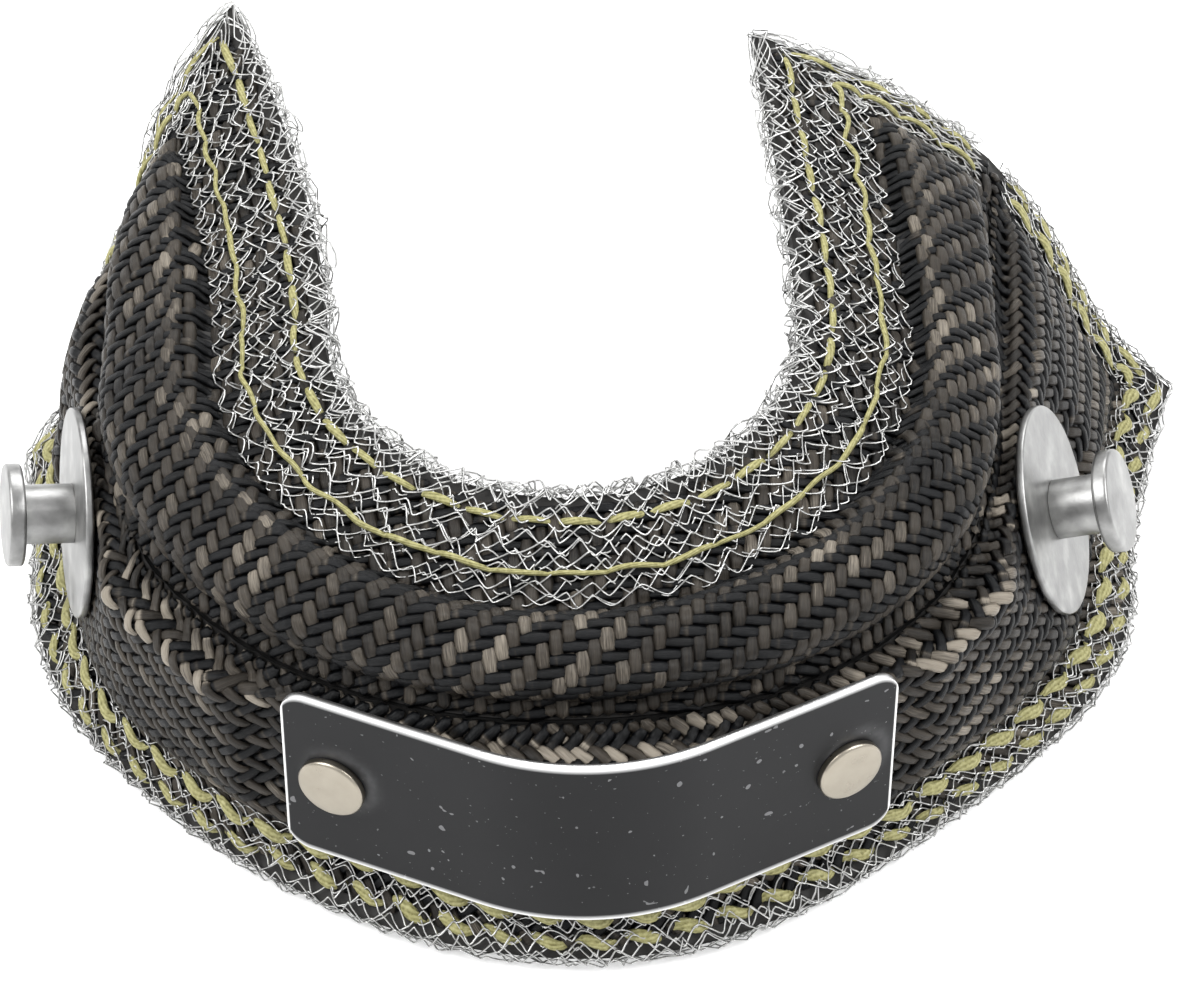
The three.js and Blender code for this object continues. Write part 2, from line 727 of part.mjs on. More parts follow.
// The frame of a rivet: on the plate's straight end, pointing out of its front.
function rivetFrame(side) {
  const { x, z, angle } = plateBend(side * (PLATE_LENGTH / 2 - RIVET_FROM_END), 0);
  const local = new THREE.Matrix4()
    .makeTranslation(x, 0, z)
    .multiply(new THREE.Matrix4().makeRotationY(angle));
  return plateFrame.clone().multiply(local);
}

// The plate holds the wall behind its back face: how far a point stands in front of that face,
// how much the plate holds it, fading out past the plate's rim, and the way out of the plate.
const plateInverse = plateFrame.clone().invert();

function meetPlate(point) {
  const local = point.clone().applyMatrix4(plateInverse);
  local.z += PLATE_BEND_RADIUS;
  const limit = THREE.MathUtils.degToRad(PLATE_BEND_DEGREES);
  const angle = clamp(Math.atan2(local.x, local.z), -limit, limit);
  const outward = vector(Math.sin(angle), 0, Math.cos(angle));
  const tangent = vector(Math.cos(angle), 0, -Math.sin(angle));
  const alongPlate = angle * PLATE_BEND_RADIUS + local.dot(tangent);
  const overTop = Math.abs(local.y) - PLATE_HEIGHT / 2;
  const overEnd = Math.abs(alongPlate) - PLATE_LENGTH / 2;
  return {
    excess: local.dot(outward) - (PLATE_BEND_RADIUS - PLATE_THICKNESS - CLEARANCE),
    weight: 1 - THREE.MathUtils.smoothstep(Math.max(overTop, overEnd), PRESS_MARGIN, PLATE_FADE),
    outward: outward.transformDirection(plateFrame),
  };
}

// The wall's middle surface gives way where even the unpadded layers would reach the plate.
function tuckBehindPlate(point) {
  const { excess, weight, outward } = meetPlate(point);
  const layers = THIN_PAD + COVER_THICKNESS + MESH_CLEARANCE + 2 * CLEARANCE;
  const over = Math.max(0, excess + layers);
  return point.addScaledVector(outward, -over * weight);
}

// A capstan draws the wall in around it.
function drawIn(side, depth) {
  const origin = middle(wall, side * CAPSTAN_ALONG, CAPSTAN_UP);
  const inward = normal(wall, side * CAPSTAN_ALONG, CAPSTAN_UP).negate();
  return (point) => {
    const distance = point.distanceTo(origin) - BASE_DISC_RADIUS;
    const weight = 1 - THREE.MathUtils.smoothstep(distance, -DRAW_INSIDE, DRAW_FADE);
    return point.addScaledVector(inward, depth * weight);
  };
}

wall.tucks.push(drawIn(-1, CAPSTAN_DRAW_LEFT), drawIn(1, CAPSTAN_DRAW_RIGHT), tuckBehindPlate);
for (const side of [-1, 1]) {
  const frame = capstanFrame(side);
  wall.presses.push(roundPress(frame, BASE_DISC_RADIUS, CAPSTAN_GRIP, 1));
  wall.presses.push(roundPress(frame, BACK_WASHER_RADIUS, CAPSTAN_GRIP, -1));
}
wall.presses.push({ face: 1, meet: meetPlate });

const blanket = new THREE.Group();

function add(name, geometry, material) {
  const mesh = new THREE.Mesh(geometry, material);
  mesh.name = name;
  blanket.add(mesh);
  return mesh;
}

// Takes away from a soft piece the room that each piece of hardware needs.
function cutFor(geometry, tools) {
  return geometryOf(tools.reduce((rest, tool) => rest.subtract(solidOf(tool)), solidOf(geometry)));
}

const seat = CAPSTAN_GRIP + CLEARANCE;
const shankHole = SHANK_RADIUS + SHANK_CLEARANCE;
const rivetHole = RIVET_SHANK_RADIUS + SHANK_CLEARANCE;

// The rivet's inner cap lies on the liner's deepest place near the rivet's axis.
function rivetInnerSeat(frame) {
  const inverse = frame.clone().invert();
  const near = 1.25 * RIVET_CAP_RADIUS;
  const steps = 120;
  let deepest = 0;
  for (let i = 0; i <= steps; i++) {
    const u = ARC_SHARE * ((2 * i) / steps - 1);
    for (let w = 0.3; w <= 0.9; w += 0.05) {
      const local = at(wall, u, w, linerBottom(wall, u, w)).applyMatrix4(inverse);
      if (Math.hypot(local.x, local.y) < near) deepest = Math.min(deepest, local.z);
    }
  }
  return deepest - CLEARANCE;
}

const wallCuts = [];
for (const side of [-1, 1]) {
  const name = side < 0 ? "left" : "right";
  const frame = capstanFrame(side);
  const disc = washer(BASE_DISC_RADIUS, shankHole, BASE_DISC_THICKNESS, seat, frame);
  add(name + "_capstan_base_disc", disc, COLOURS.aluminium);
  const sleeveFrom = seat + BASE_DISC_THICKNESS;
  const sleeveTo = sleeveFrom + SLEEVE_LENGTH;
  const sleeve = [
    [shankHole, sleeveFrom],
    [SLEEVE_RADIUS, sleeveFrom],
    [SLEEVE_RADIUS, sleeveTo],
    [shankHole, sleeveTo],
    [shankHole, sleeveFrom],
  ];
  add(name + "_capstan_sleeve", turned(sleeve, frame), COLOURS.aluminium);
  const washerFrom = -seat - BACK_WASHER_THICKNESS;
  const tail = washerFrom - SHANK_TAIL;
  const tailRadius = SHANK_RADIUS + TAIL_SPREAD;
  const capTop = sleeveTo + CAP_THICKNESS;
  const rivet = [
    [0, tail],
    [tailRadius - TAIL_BEVEL, tail],
    [tailRadius, washerFrom - TAIL_RIM],
    [tailRadius, washerFrom],
    [SHANK_RADIUS, washerFrom],
    [SHANK_RADIUS, sleeveTo],
    [CAP_RADIUS - CAP_ROUNDING, sleeveTo],
    [CAP_RADIUS, sleeveTo + CAP_ROUNDING],
    [CAP_RADIUS, capTop - CAP_ROUNDING],
    [CAP_RADIUS - CAP_ROUNDING, capTop],
    [0, capTop],
  ];
  add(name + "_capstan_rivet", turned(rivet, frame), COLOURS.aluminium);
  const back = washer(BACK_WASHER_RADIUS, shankHole, BACK_WASHER_THICKNESS, washerFrom, frame);
  add(name + "_capstan_back_washer", back, COLOURS.aluminium);
  const roomOut = sleeveFrom + WALL_PUFF_OUT;
  const roomIn = washerFrom - WALL_PUFF_IN;
  wallCuts.push(rod(shankHole, -CUT_LENGTH / 2, CUT_LENGTH / 2, frame));
  wallCuts.push(rod(BASE_DISC_RADIUS + CLEARANCE, CAPSTAN_GRIP, roomOut, frame));
  wallCuts.push(rod(BACK_WASHER_RADIUS + CLEARANCE, roomIn, -CAPSTAN_GRIP, frame));
}

const plateHoles = [];
for (const side of [-1, 1]) {
  const name = side < 0 ? "left" : "right";
  const frame = rivetFrame(side);
  const inner = rivetInnerSeat(frame);
  const soft = RIVET_ROUNDING;
  const top = CLEARANCE + RIVET_CAP_THICKNESS;
  const innerTop = inner - INNER_CAP_THICKNESS;
  const post = [
    [0, innerTop],
    [RIVET_SHANK_RADIUS, innerTop],
    [RIVET_SHANK_RADIUS, CLEARANCE],
    [RIVET_CAP_RADIUS - soft, CLEARANCE],
    [RIVET_CAP_RADIUS, CLEARANCE + soft],
    [RIVET_CAP_RADIUS, top - 2 * soft],
    [RIVET_CAP_RADIUS - soft, top - 0.5 * soft],
    [RIVET_CAP_RADIUS - 3 * soft, top],
    [0, top],
  ];
  add(name + "_plate_rivet", turned(post, frame), COLOURS.nickel);
  const cap = [
    [rivetHole, inner],
    [RIVET_CAP_RADIUS, inner],
    [RIVET_CAP_RADIUS, innerTop + INNER_CAP_BEVEL],
    [RIVET_CAP_RADIUS - soft, innerTop],
    [rivetHole, innerTop],
    [rivetHole, inner],
  ];
  add(name + "_plate_rivet_cap", turned(cap, frame), COLOURS.nickel);
  const hole = rod(rivetHole, -CUT_LENGTH, CUT_LENGTH / 2, frame);
  plateHoles.push(hole);
  wallCuts.push(hole);
}
const plate = plateGeometry();
add("plate", cutFor(plate, plateHoles), COLOURS.plate);

add("roof_cover", coverOf(roof), COLOURS.basalt);
add("roof_batting", battingOf(roof), COLOURS.batting);
add("roof_liner", linerOf(roof), COLOURS.mesh);
add("neck_binding", bindingOf(roof), COLOURS.mesh);
add("wall_cover", cutFor(coverOf(wall), wallCuts), COLOURS.basalt);
add("wall_batting", cutFor(battingOf(wall), wallCuts), COLOURS.batting);
add("wall_liner", cutFor(linerOf(wall), wallCuts), COLOURS.mesh);
add("skirt_binding", cutFor(bindingOf(wall), wallCuts), COLOURS.mesh);

const rows = {
  neck_stitch_edge_row: [roof, NECK_ROW_EDGE, END_ROW_EDGE, FINE_THREAD_WIDTH],
  neck_stitch_inner_row: [roof, NECK_ROW_INNER, END_ROW_INNER, FINE_THREAD_WIDTH],
  skirt_stitch_edge_row: [wall, SKIRT_ROW_EDGE, END_ROW_EDGE, THREAD_WIDTH],
  skirt_stitch_inner_row: [wall, SKIRT_ROW_INNER, END_ROW_INNER, THREAD_WIDTH],
};
for (const [name, [panel, edgeMm, endMm, width]] of Object.entries(rows)) {
  const route = rowRoute(panel, edgeMm, endMm);
  add(name, threadOf(panel, route, 1, width, 2, 0.5), COLOURS.thread);
  add(name.replace("stitch", "bobbin"), threadOf(panel, route, -1, BOBBIN_WIDTH, 1, 0), COLOURS.thread);
}
add("crease_thread", creaseThread(), COLOURS.thread);

// The origin is under the middle of the part, on the surface that it stands on.
const box = new THREE.Box3().setFromObject(blanket);
const centre = box.getCenter(vector());
blanket.position.set(-centre.x, -centre.y, -box.min.z);

export default blanket;
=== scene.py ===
import json
import math

import bmesh
import bpy
import numpy as np
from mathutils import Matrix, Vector

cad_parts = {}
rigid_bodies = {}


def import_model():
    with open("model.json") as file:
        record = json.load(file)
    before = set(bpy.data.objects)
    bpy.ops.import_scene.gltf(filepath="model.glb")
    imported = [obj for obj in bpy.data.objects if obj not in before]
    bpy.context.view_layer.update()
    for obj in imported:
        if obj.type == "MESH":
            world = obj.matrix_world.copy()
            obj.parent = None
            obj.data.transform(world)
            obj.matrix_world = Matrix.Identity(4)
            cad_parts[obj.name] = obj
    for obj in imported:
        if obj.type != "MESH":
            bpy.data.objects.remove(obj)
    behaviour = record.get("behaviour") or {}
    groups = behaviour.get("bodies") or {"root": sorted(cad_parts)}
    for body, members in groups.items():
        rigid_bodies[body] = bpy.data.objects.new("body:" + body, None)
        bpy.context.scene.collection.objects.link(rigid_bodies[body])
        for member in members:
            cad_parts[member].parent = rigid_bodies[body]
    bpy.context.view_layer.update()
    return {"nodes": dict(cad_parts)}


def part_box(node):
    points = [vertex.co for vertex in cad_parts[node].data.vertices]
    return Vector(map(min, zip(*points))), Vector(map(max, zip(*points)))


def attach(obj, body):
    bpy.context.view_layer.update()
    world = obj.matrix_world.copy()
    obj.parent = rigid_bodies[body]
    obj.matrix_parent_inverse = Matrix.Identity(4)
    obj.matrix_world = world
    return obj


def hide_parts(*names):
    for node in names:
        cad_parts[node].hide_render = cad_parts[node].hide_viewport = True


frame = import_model()

# Sizes are in millimetres, as in the part's own source, and become metres in mesh_piece.
MM = 0.001

# Panels: curves of the neck, the crease and the skirt edge, and the layers between them
ARC_SHARE = 0.64
WALL_HEIGHT = 31.2
ROOF_DROP = 13
NECK = dict(shift=0, half=28.8, depth=29, height=WALL_HEIGHT + ROOF_DROP,
            arm=(56, 51), lean=(13, -4), fullness=(0, 0))
CREASE = dict(shift=-2, half=53, depth=49.5, height=WALL_HEIGHT,
              arm=(37, 43), lean=(-3, 2.5), fullness=(0, 0.05))
SKIRT = dict(shift=2.5, half=67.5, depth=58, height=0,
             arm=(21.5, 34), lean=(2.5, 8), fullness=(-0.05, -0.1))
COVER = 0.9
THIN = 0.15
NECK_HEM = 12
SKIRT_HEM = 7
END_HEM = 6.6
PAD_MARGIN = 0.8
SEAM_MARGIN = 2.4

# Hardware
CAPSTAN_ALONG = 0.58
CAPSTAN_UP = 0.66
CAPSTAN_DRAW = (2, 0.5)
GRIP = 2.1
CLEARANCE = 0.3
MESH_CLEARANCE = 0.45
DRAW_INSIDE = 4
DRAW_FADE = 12
PRESS_MARGIN = 1
DISC_FADE = 8
PLATE_FADE = 7
DISC_RADIUS = 12.7
DISC_THICKNESS = 1
SLEEVE_RADIUS = 3.6
SLEEVE_LENGTH = 6.1
CAP_RADIUS = 6.2
CAP_THICKNESS = 2
CAPSTAN_BORE = 2.6
WASHER_RADIUS = 8
WASHER_THICKNESS = 1
TAIL_THICKNESS = 1.2
LAP = 0.05
PLATE_LENGTH = 76
PLATE_HEIGHT = 25.4
PLATE_THICKNESS = 1
BEND_RADIUS = 30
BEND = math.radians(26)
PLATE_CORNER = 3
PLATE_FORWARD = 9
PLATE_FROM_SKIRT = 7
PLATE_CENTRE = (3.7, -(CREASE["depth"] + PLATE_FORWARD), PLATE_FROM_SKIRT + PLATE_HEIGHT / 2)
PLATE_TILT = math.radians(3)
PLATE_YAW = math.radians(2.5)
RIVET_FROM_END = 6.3
RIVET_RADIUS = 4
RIVET_THICKNESS = 1.3

# Cloth, wire and thread
ROOF_PITCH = (1.3, 1.6)
WALL_PITCH = (1.4, 1.4)
ROOF_BIAS = math.radians(4)
WALL_BIAS = math.radians(43)
SAMPLES_PER_CROSSING = 3
TOW_SINK = 0.26
TOW_RISE = 0.24
TOW_WIDTH = 0.53
TOW_CROWN = 0.31
BEAD_PLACE = 0.9
WIRE = 0.125
KNIT_STEPS = 10
STITCH_STEPS = 10
STITCH_SIDES = 8
LATHE_SEGMENTS = 72
PAD_OVER_EDGE = 0.9
PAD_UNDER_TOWS = 0.62
PAD_OVER_LINER = 0.1
UNDER_METAL = 0.3


def unit(v):
    """Vectors of length 1, the same way."""
    return v / np.maximum(np.linalg.norm(v, axis=-1, keepdims=True), 1e-9)


def ease(t):
    """A quarter circle: steep at 0, level at 1."""
    return np.sqrt(np.clip(1 - (1 - np.clip(t, 0, 1)) ** 2, 0, 1))


def smoothstep(t, low, high):
    """0 at low, 1 at high, level at both."""
    t = np.clip((t - low) / (high - low), 0, 1)
    return t * t * (3 - 2 * t)


def lerp(a, b, t):
    return a + (b - a) * t


def side_value(u, pair):
    """The first value left of the middle, the second right of it."""
    return np.where(u < 0, pair[0], pair[1])


def along(curve, u):
    """A point of a curve: half an ellipse round the front that runs on into an arm at each side."""
    turn = np.clip(u / ARC_SHARE, -1, 1) * math.pi / 2
    back = np.maximum(0, (np.abs(u) - ARC_SHARE) / (1 - ARC_SHARE))
    swell = 1 + side_value(u, curve["fullness"]) * np.sin(2 * turn) ** 2
    lean = np.sign(u) * side_value(u, curve["lean"]) * back ** 1.5
    x = curve["shift"] + curve["half"] * swell * np.sin(turn) + lean
    y = -curve["depth"] * swell * np.cos(turn) + side_value(u, curve["arm"]) * back
    return np.stack([x, y, np.full_like(x, curve["height"])], -1)


class Panel:
    """A quilted panel, ruled from its bound edge, w = 0, to the crease, w = 1. Its middle face is
    edge(u) + chord(u) w + n (crown sin(pi w) + ripple sin(2 pi w)), with n square to the chord."""

    def __init__(self, edge, outwards, crown, ripple, puff, hem, rise, fall):
        self.edge = edge
        self.outwards = outwards
        self.crown = crown
        self.ripple = ripple
        self.puff = puff
        self.hem = hem
        self.rise = rise
        self.fall = fall
        self.tucks = []
        self.presses = []

    def middle(self, u, w):
        """The middle face, drawn in by the capstans and tucked behind the plate."""
        edge = along(self.edge, u)
        chord = along(CREASE, u) - edge
        tangent = along(CREASE, u + 1e-3) - along(CREASE, u - 1e-3)
        bow = self.crown * np.sin(np.pi * w) + self.ripple * np.sin(2 * np.pi * w)
        across = unit(np.cross(tangent, chord)) * (-self.outwards * bow)[..., None]
        point = edge + chord * w[..., None] + across
        for tuck in self.tucks:
            point = tuck(point)
        return point

    def tangents(self, u, w):
        step = 1e-3
        du = (self.middle(u + step, w) - self.middle(u - step, w)) / (2 * step)
        dw = (self.middle(u, w + step) - self.middle(u, w - step)) / (2 * step)
        return du, dw

    def normal(self, u, w):
        du, dw = self.tangents(u, w)
        return unit(np.cross(dw, du)) * self.outwards

    def width(self, u):
        """From the bound edge to the crease."""
        return np.linalg.norm(along(self.edge, u) - along(CREASE, u), axis=-1)

    def from_edge(self, u, distance):
        """w at a distance from the bound edge."""
        return distance / self.width(u)

    def from_end(self, side, w, distance):
        """u at a distance from an arm's end."""
        du, _ = self.tangents(side * np.full_like(w, 0.97), w)
        return side * (1 - distance / np.linalg.norm(du, axis=-1))

    def fullness(self, u, w):
        """1 over the padding, with a quarter-round fall to 0 at the hem, the crease and the ends."""
        start = self.from_edge(u, self.hem + PAD_MARGIN)
        top = 1 - self.from_edge(u, SEAM_MARGIN)
        share = (w - start) / (top - start)
        w = np.clip(w, 0, 1)
        left = -self.from_end(-1, w, END_HEM + PAD_MARGIN)
        right = self.from_end(1, w, END_HEM + PAD_MARGIN)
        end = np.where(u < 0, left, right)
        ends = ease((end - np.abs(u)) / 0.2)
        return ease(share / self.rise) * ease((1 - share) / self.fall) * ends

    def height(self, u, w, face):
        """Height of the cover's face, or depth of the liner's: layers + puff fullness(u, w), less
        what would stand in the hardware."""
        height = THIN + COVER + self.puff[0 if face > 0 else 1] * self.fullness(u, w)
        middle = self.middle(u, w)
        normal = self.normal(u, w)
        for press_face, meet in self.presses:
            if press_face != face:
                continue
            for _ in range(2):
                excess, weight = meet(middle + normal * (face * height)[..., None])[:2]
                height = height - np.maximum(excess, 0) * weight
        return np.maximum(height, THIN + COVER)


roof = Panel(NECK, 1, 2, 0, (4.6, 3), NECK_HEM, 0.32, 0.28)
wall = Panel(SKIRT, -1, -1, -1, (3.2, 3.4), SKIRT_HEM, 0.25, 0.12)


def rotation(axis, angle):
    """A turn about the x or the z axis."""
    c, s = math.cos(angle), math.sin(angle)
    if axis == "x":
        return np.array([[1, 0, 0], [0, c, -s], [0, s, c]])
    return np.array([[c, -s, 0], [s, c, 0], [0, 0, 1]])


# Plate frame: X along the plate, Y up it and Z out of its front
PLATE_TURN = rotation("z", PLATE_YAW) @ rotation("x", math.pi / 2 - PLATE_TILT)


def meet_plate(point):
    """How far a point stands in front of the plate's back, how firmly it is held, and the way
    out: the plate is an arc of BEND_RADIUS through twice BEND, with a straight run at each end."""
    local = (point - np.array(PLATE_CENTRE)) @ PLATE_TURN
    local[..., 2] += BEND_RADIUS
    angle = np.clip(np.arctan2(local[..., 0], local[..., 2]), -BEND, BEND)
    zero = np.zeros_like(angle)
    outward = np.stack([np.sin(angle), zero, np.cos(angle)], -1)
    tangent = np.stack([np.cos(angle), zero, -np.sin(angle)], -1)
    run = angle * BEND_RADIUS + (local * tangent).sum(-1)
    over = np.maximum(np.abs(local[..., 1]) - PLATE_HEIGHT / 2, np.abs(run) - PLATE_LENGTH / 2)
    excess = (local * outward).sum(-1) - (BEND_RADIUS - PLATE_THICKNESS - CLEARANCE)
    return excess, 1 - smoothstep(over, PRESS_MARGIN, PLATE_FADE), outward @ PLATE_TURN.T


def tuck_behind_plate(point):
    """Moves the middle face back until its layers fit behind the plate."""
    excess, weight, outward = meet_plate(point)
    layers = THIN + COVER + MESH_CLEARANCE + 2 * CLEARANCE
    return point - outward * (np.maximum(0, excess + layers) * weight)[..., None]


def draw_in(side, depth):
    """The pull of a capstan's rivet, which draws the wall inwards round it."""
    u, w = np.array([side * CAPSTAN_ALONG]), np.array([CAPSTAN_UP])
    origin = wall.middle(u, w)[0]
    inward = -wall.normal(u, w)[0]

    def move(point):
        distance = np.linalg.norm(point - origin, axis=-1) - DISC_RADIUS
        share = 1 - smoothstep(distance, -DRAW_INSIDE, DRAW_FADE)
        return point + inward * (depth * share)[..., None]

    return move


def frame_along(origin, axis):
    """Origin and turn whose third column is the axis, turned the shortest way from upright."""
    turn = Vector((0, 0, 1)).rotation_difference(Vector(axis)).to_matrix()
    return np.array(origin), np.array(turn)


def round_press(place, radius, face):
    """A disc that holds one face of the wall down, with a soft rim."""
    origin, turn = place

    def meet(point):
        local = (point - origin) @ turn
        distance = np.hypot(local[..., 0], local[..., 1]) - radius
        return face * local[..., 2] - GRIP, 1 - smoothstep(distance, PRESS_MARGIN, DISC_FADE)

    return face, meet


draws = [draw_in(side, depth) for side, depth in zip((-1, 1), CAPSTAN_DRAW)]
wall.tucks = [*draws, tuck_behind_plate]
CAPSTANS = []
for side in (-1, 1):
    seat_u, seat_w = np.array([side * CAPSTAN_ALONG]), np.array([CAPSTAN_UP])
    place = frame_along(wall.middle(seat_u, seat_w)[0], wall.normal(seat_u, seat_w)[0])
    CAPSTANS.append(place)
    wall.presses.append(round_press(place, DISC_RADIUS, 1))
    wall.presses.append(round_press(place, WASHER_RADIUS, -1))
wall.presses.append((1, meet_plate))


def plate_point(run, up, depth):
    """Places on the bent plate: run along it, up it, and depth behind its front face."""
    angle = np.clip(run / BEND_RADIUS, -BEND, BEND)
    straight = run - angle * BEND_RADIUS
    radius = BEND_RADIUS - depth
    x = radius * np.sin(angle) + straight * np.cos(angle)
    z = radius * np.cos(angle) - BEND_RADIUS - straight * np.sin(angle)
    return np.stack([x, up + 0 * x, z], -1) @ PLATE_TURN.T + np.array(PLATE_CENTRE)


def frame_shift():
    """The shift from the source's own origin to the frame's, read off the plate's box."""
    half_x, half_y = PLATE_LENGTH / 2, PLATE_HEIGHT / 2
    run, up = np.meshgrid(np.linspace(-half_x, half_x, 153), [-half_y, half_y])
    points = np.concatenate([plate_point(run, up, 0), plate_point(run, up, PLATE_THICKNESS)])
    points = points.reshape(-1, 3)
    low, high = (np.array(corner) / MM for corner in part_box("plate"))
    return (low + high) / 2 - (points.min(0) + points.max(0)) / 2


SHIFT = frame_shift()


class Skin:
    """A panel's face, middle(u, w) + normal height(u, w), sampled once on a grid of u and w and
    read back by bilinear interpolation. Relief adds to the height, and metal presses it back."""

    U = np.linspace(-1.02, 1.02, 561)
    W = np.linspace(-0.04, 1, 105)

    def __init__(self, panel, face, relief=None, beaded=False):
        self.panel = panel
        self.beaded = beaded
        u, w = np.meshgrid(self.U, self.W, indexing="ij")
        self.base = panel.normal(u, w) * face
        height = panel.height(u, w, face)
        if relief is not None:
            height = height + relief(panel, u, w)
            for press_face, meet in panel.presses:
                under = panel.middle(u, w) + self.base * (height + UNDER_METAL)[..., None]
                excess, weight = meet(under)[:2]
                height = height - np.maximum(excess, 0) * weight * (press_face == face)
        self.points = panel.middle(u, w) + self.base * height[..., None]
        du = np.gradient(self.points, axis=0)
        dw = np.gradient(self.points, axis=1)
        normal = unit(np.cross(dw, du)) * panel.outwards * face
        self.normals = unit(normal + 0.35 * self.base)
        lengths = np.linalg.norm(np.diff(self.points[len(self.U) // 2], axis=0), axis=-1)
        self.run = np.concatenate([[0], np.cumsum(lengths)])
        self.run -= np.interp(0, self.W, self.run)
        self.across = self.run[-1]

    def read(self, grid, u, w):
        """A sampled grid at any u and w."""
        i = np.clip((u - self.U[0]) / (self.U[1] - self.U[0]), 0, len(self.U) - 1.001)
        j = np.clip((w - self.W[0]) / (self.W[1] - self.W[0]), 0, len(self.W) - 1.001)
        a, b = i.astype(int), j.astype(int)
        s, t = (i - a)[..., None], (j - b)[..., None]
        low = grid[a, b] * (1 - t) + grid[a, b + 1] * t
        high = grid[a + 1, b] * (1 - t) + grid[a + 1, b + 1] * t
        return low * (1 - s) + high * s

    def normal(self, u, w):
        return unit(self.read(self.normals, u, w))

    def point(self, u, w, lift=0.0):
        return self.read(self.points, u, w) + self.normal(u, w) * np.asarray(lift)[..., None]

    def w_at(self, share):
        """w at a share of the way across, measured over the puffed face."""
        return np.interp(share * self.across, self.run, self.W)


def waves(s, t, count, shortest, longest, seed):
    """A smooth random field: a sum of sine waves of random direction, length and phase."""
    random = np.random.default_rng(seed)
    total = np.zeros(np.broadcast(s, t).shape)
    for _ in range(count):
        length = random.uniform(shortest, longest)
        angle = random.uniform(0, 2 * np.pi)
        phase = random.uniform(0, 2 * np.pi)
        total += np.sin(2 * np.pi * (s * np.cos(angle) + t * np.sin(angle)) / length + phase)
    return total / math.sqrt(count)


def roof_relief(panel, u, w):
    """Soft dents all over the padding."""
    full = panel.fullness(u, w)
    s, t = u * 95, w * panel.width(u)
    return full * (0.22 * waves(s, t, 6, 9, 22, 1) + 0.1 * waves(s, t, 6, 4, 7, 2))


def bead(u, w, width, fade):
    """The gathered bead under the crease: a bell across the wall, faded out towards the arms."""
    return np.exp(-(((w - BEAD_PLACE) / width) ** 2)) * (1 - smoothstep(np.abs(u), fade, fade + 0.2))


def wall_relief(panel, u, w):
    """Soft dents all over, and a gathered bead where the wall is sewn into the crease."""
    full = panel.fullness(u, w)
    s, t = u * 120, w * panel.width(u)
    middle = panel.middle(u, w)
    held = 1 - meet_plate(middle)[1]
    free = np.ones_like(u)
    for _, meet in wall.presses[:-1]:
        free *= 1 - meet(middle)[1]
    gathers = 0.65 * waves(s, t * 0.35, 7, 2.6, 5.5, 4) + 1.5
    dents = held * full * 0.2 * waves(s, t, 6, 8, 20, 3)
    return free * (dents + bead(u, w, 0.07, 0.55) * gathers * (0.7 + 0.3 * held))


roof_top = Skin(roof, 1, roof_relief)
roof_under = Skin(roof, -1)
wall_top = Skin(wall, 1, wall_relief, beaded=True)
wall_under = Skin(wall, -1)


def mesh_piece(name, points, faces, material, replaced=(), attributes=None):
    """Makes a mesh from points in the part's millimetres, and hands it to the frame."""
    mesh = bpy.data.meshes.new(name)
    mesh.from_pydata((points.reshape(-1, 3) + SHIFT) * MM, [], faces)
    mesh.update()
    mesh.polygons.foreach_set("use_smooth", np.ones(len(mesh.polygons), bool))
    for key, values in (attributes or {}).items():
        kind, field = ("FLOAT2", "vector") if values.shape[-1] == 2 else ("FLOAT", "value")
        layer = mesh.attributes.new(key, kind, "POINT")
        layer.data.foreach_set(field, values.astype(np.float32).ravel())
    mesh.materials.append(material)
    piece = bpy.data.objects.new(name, mesh)
    bpy.context.scene.collection.objects.link(piece)
    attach(piece, "root")
    if replaced:
        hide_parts(*replaced)
    return piece


def grid_faces(rows, columns, offset=0, wrap=False):
    """Quads between neighbouring rows and columns of a grid of points."""
    i = np.arange(rows - 1)[:, None]
    j = np.arange(columns if wrap else columns - 1)[None, :]
    a = i * columns + j
    b = i * columns + (j + 1) % columns
    quads = np.stack([a, b, b + columns, a + columns], -1).reshape(-1, 4)
    return quads + offset


def strands(centres, across, up, half_width, half_height, section, valid=None):
    """Closed strands: centre + across half_width a + up half_height b, for each point (a, b) of
    the section. centres is lines by samples. A strand is drawn to a point where a run of valid
    samples starts and ends."""
    lines, samples = centres.shape[:2]
    if valid is None:
        valid = np.ones((lines, samples), bool)
    inner = valid.copy()
    inner[:, 1:] &= valid[:, :-1]
    inner[:, :-1] &= valid[:, 1:]
    inner[:, 0] = False
    inner[:, -1] = False
    size = inner[..., None, None]
    offsets = (
        across[..., None, :] * (section[:, :1] * half_width[..., None, None])
        + up[..., None, :] * (section[:, 1:] * half_height[..., None, None])
    )
    points = centres[..., None, :] + offsets * size
    sides = len(section)
    quads = grid_faces(samples, sides, wrap=True).reshape(samples - 1, sides, 4)
    keep = (valid[:, :-1] & valid[:, 1:]) & (inner[:, :-1] | inner[:, 1:])
    shift = (np.arange(lines) * samples * sides)[:, None, None, None]
    faces = (quads[None] + shift)[keep].reshape(-1, 4)
    return points, faces


def compact(points, faces, attributes):
    """Drops points that no face uses."""
    flat = points.reshape(-1, 3)
    used = np.unique(faces)
    index = np.full(len(flat), -1)
    index[used] = np.arange(len(used))
    kept = {key: value.reshape(len(flat), -1)[used] for key, value in attributes.items()}
    return flat[used], index[faces], kept


def outline(sides):
    """A regular outline of unit radius."""
    angle = 2 * np.pi * np.arange(sides) / sides
    return np.stack([np.cos(angle), np.sin(angle)], -1)


# A tow's outline: a crowned back over a flat belly
TOW_OUTLINE = np.array([[1, -0.15], [0.45, 0.95], [-0.45, 0.95], [-1, -0.15]])


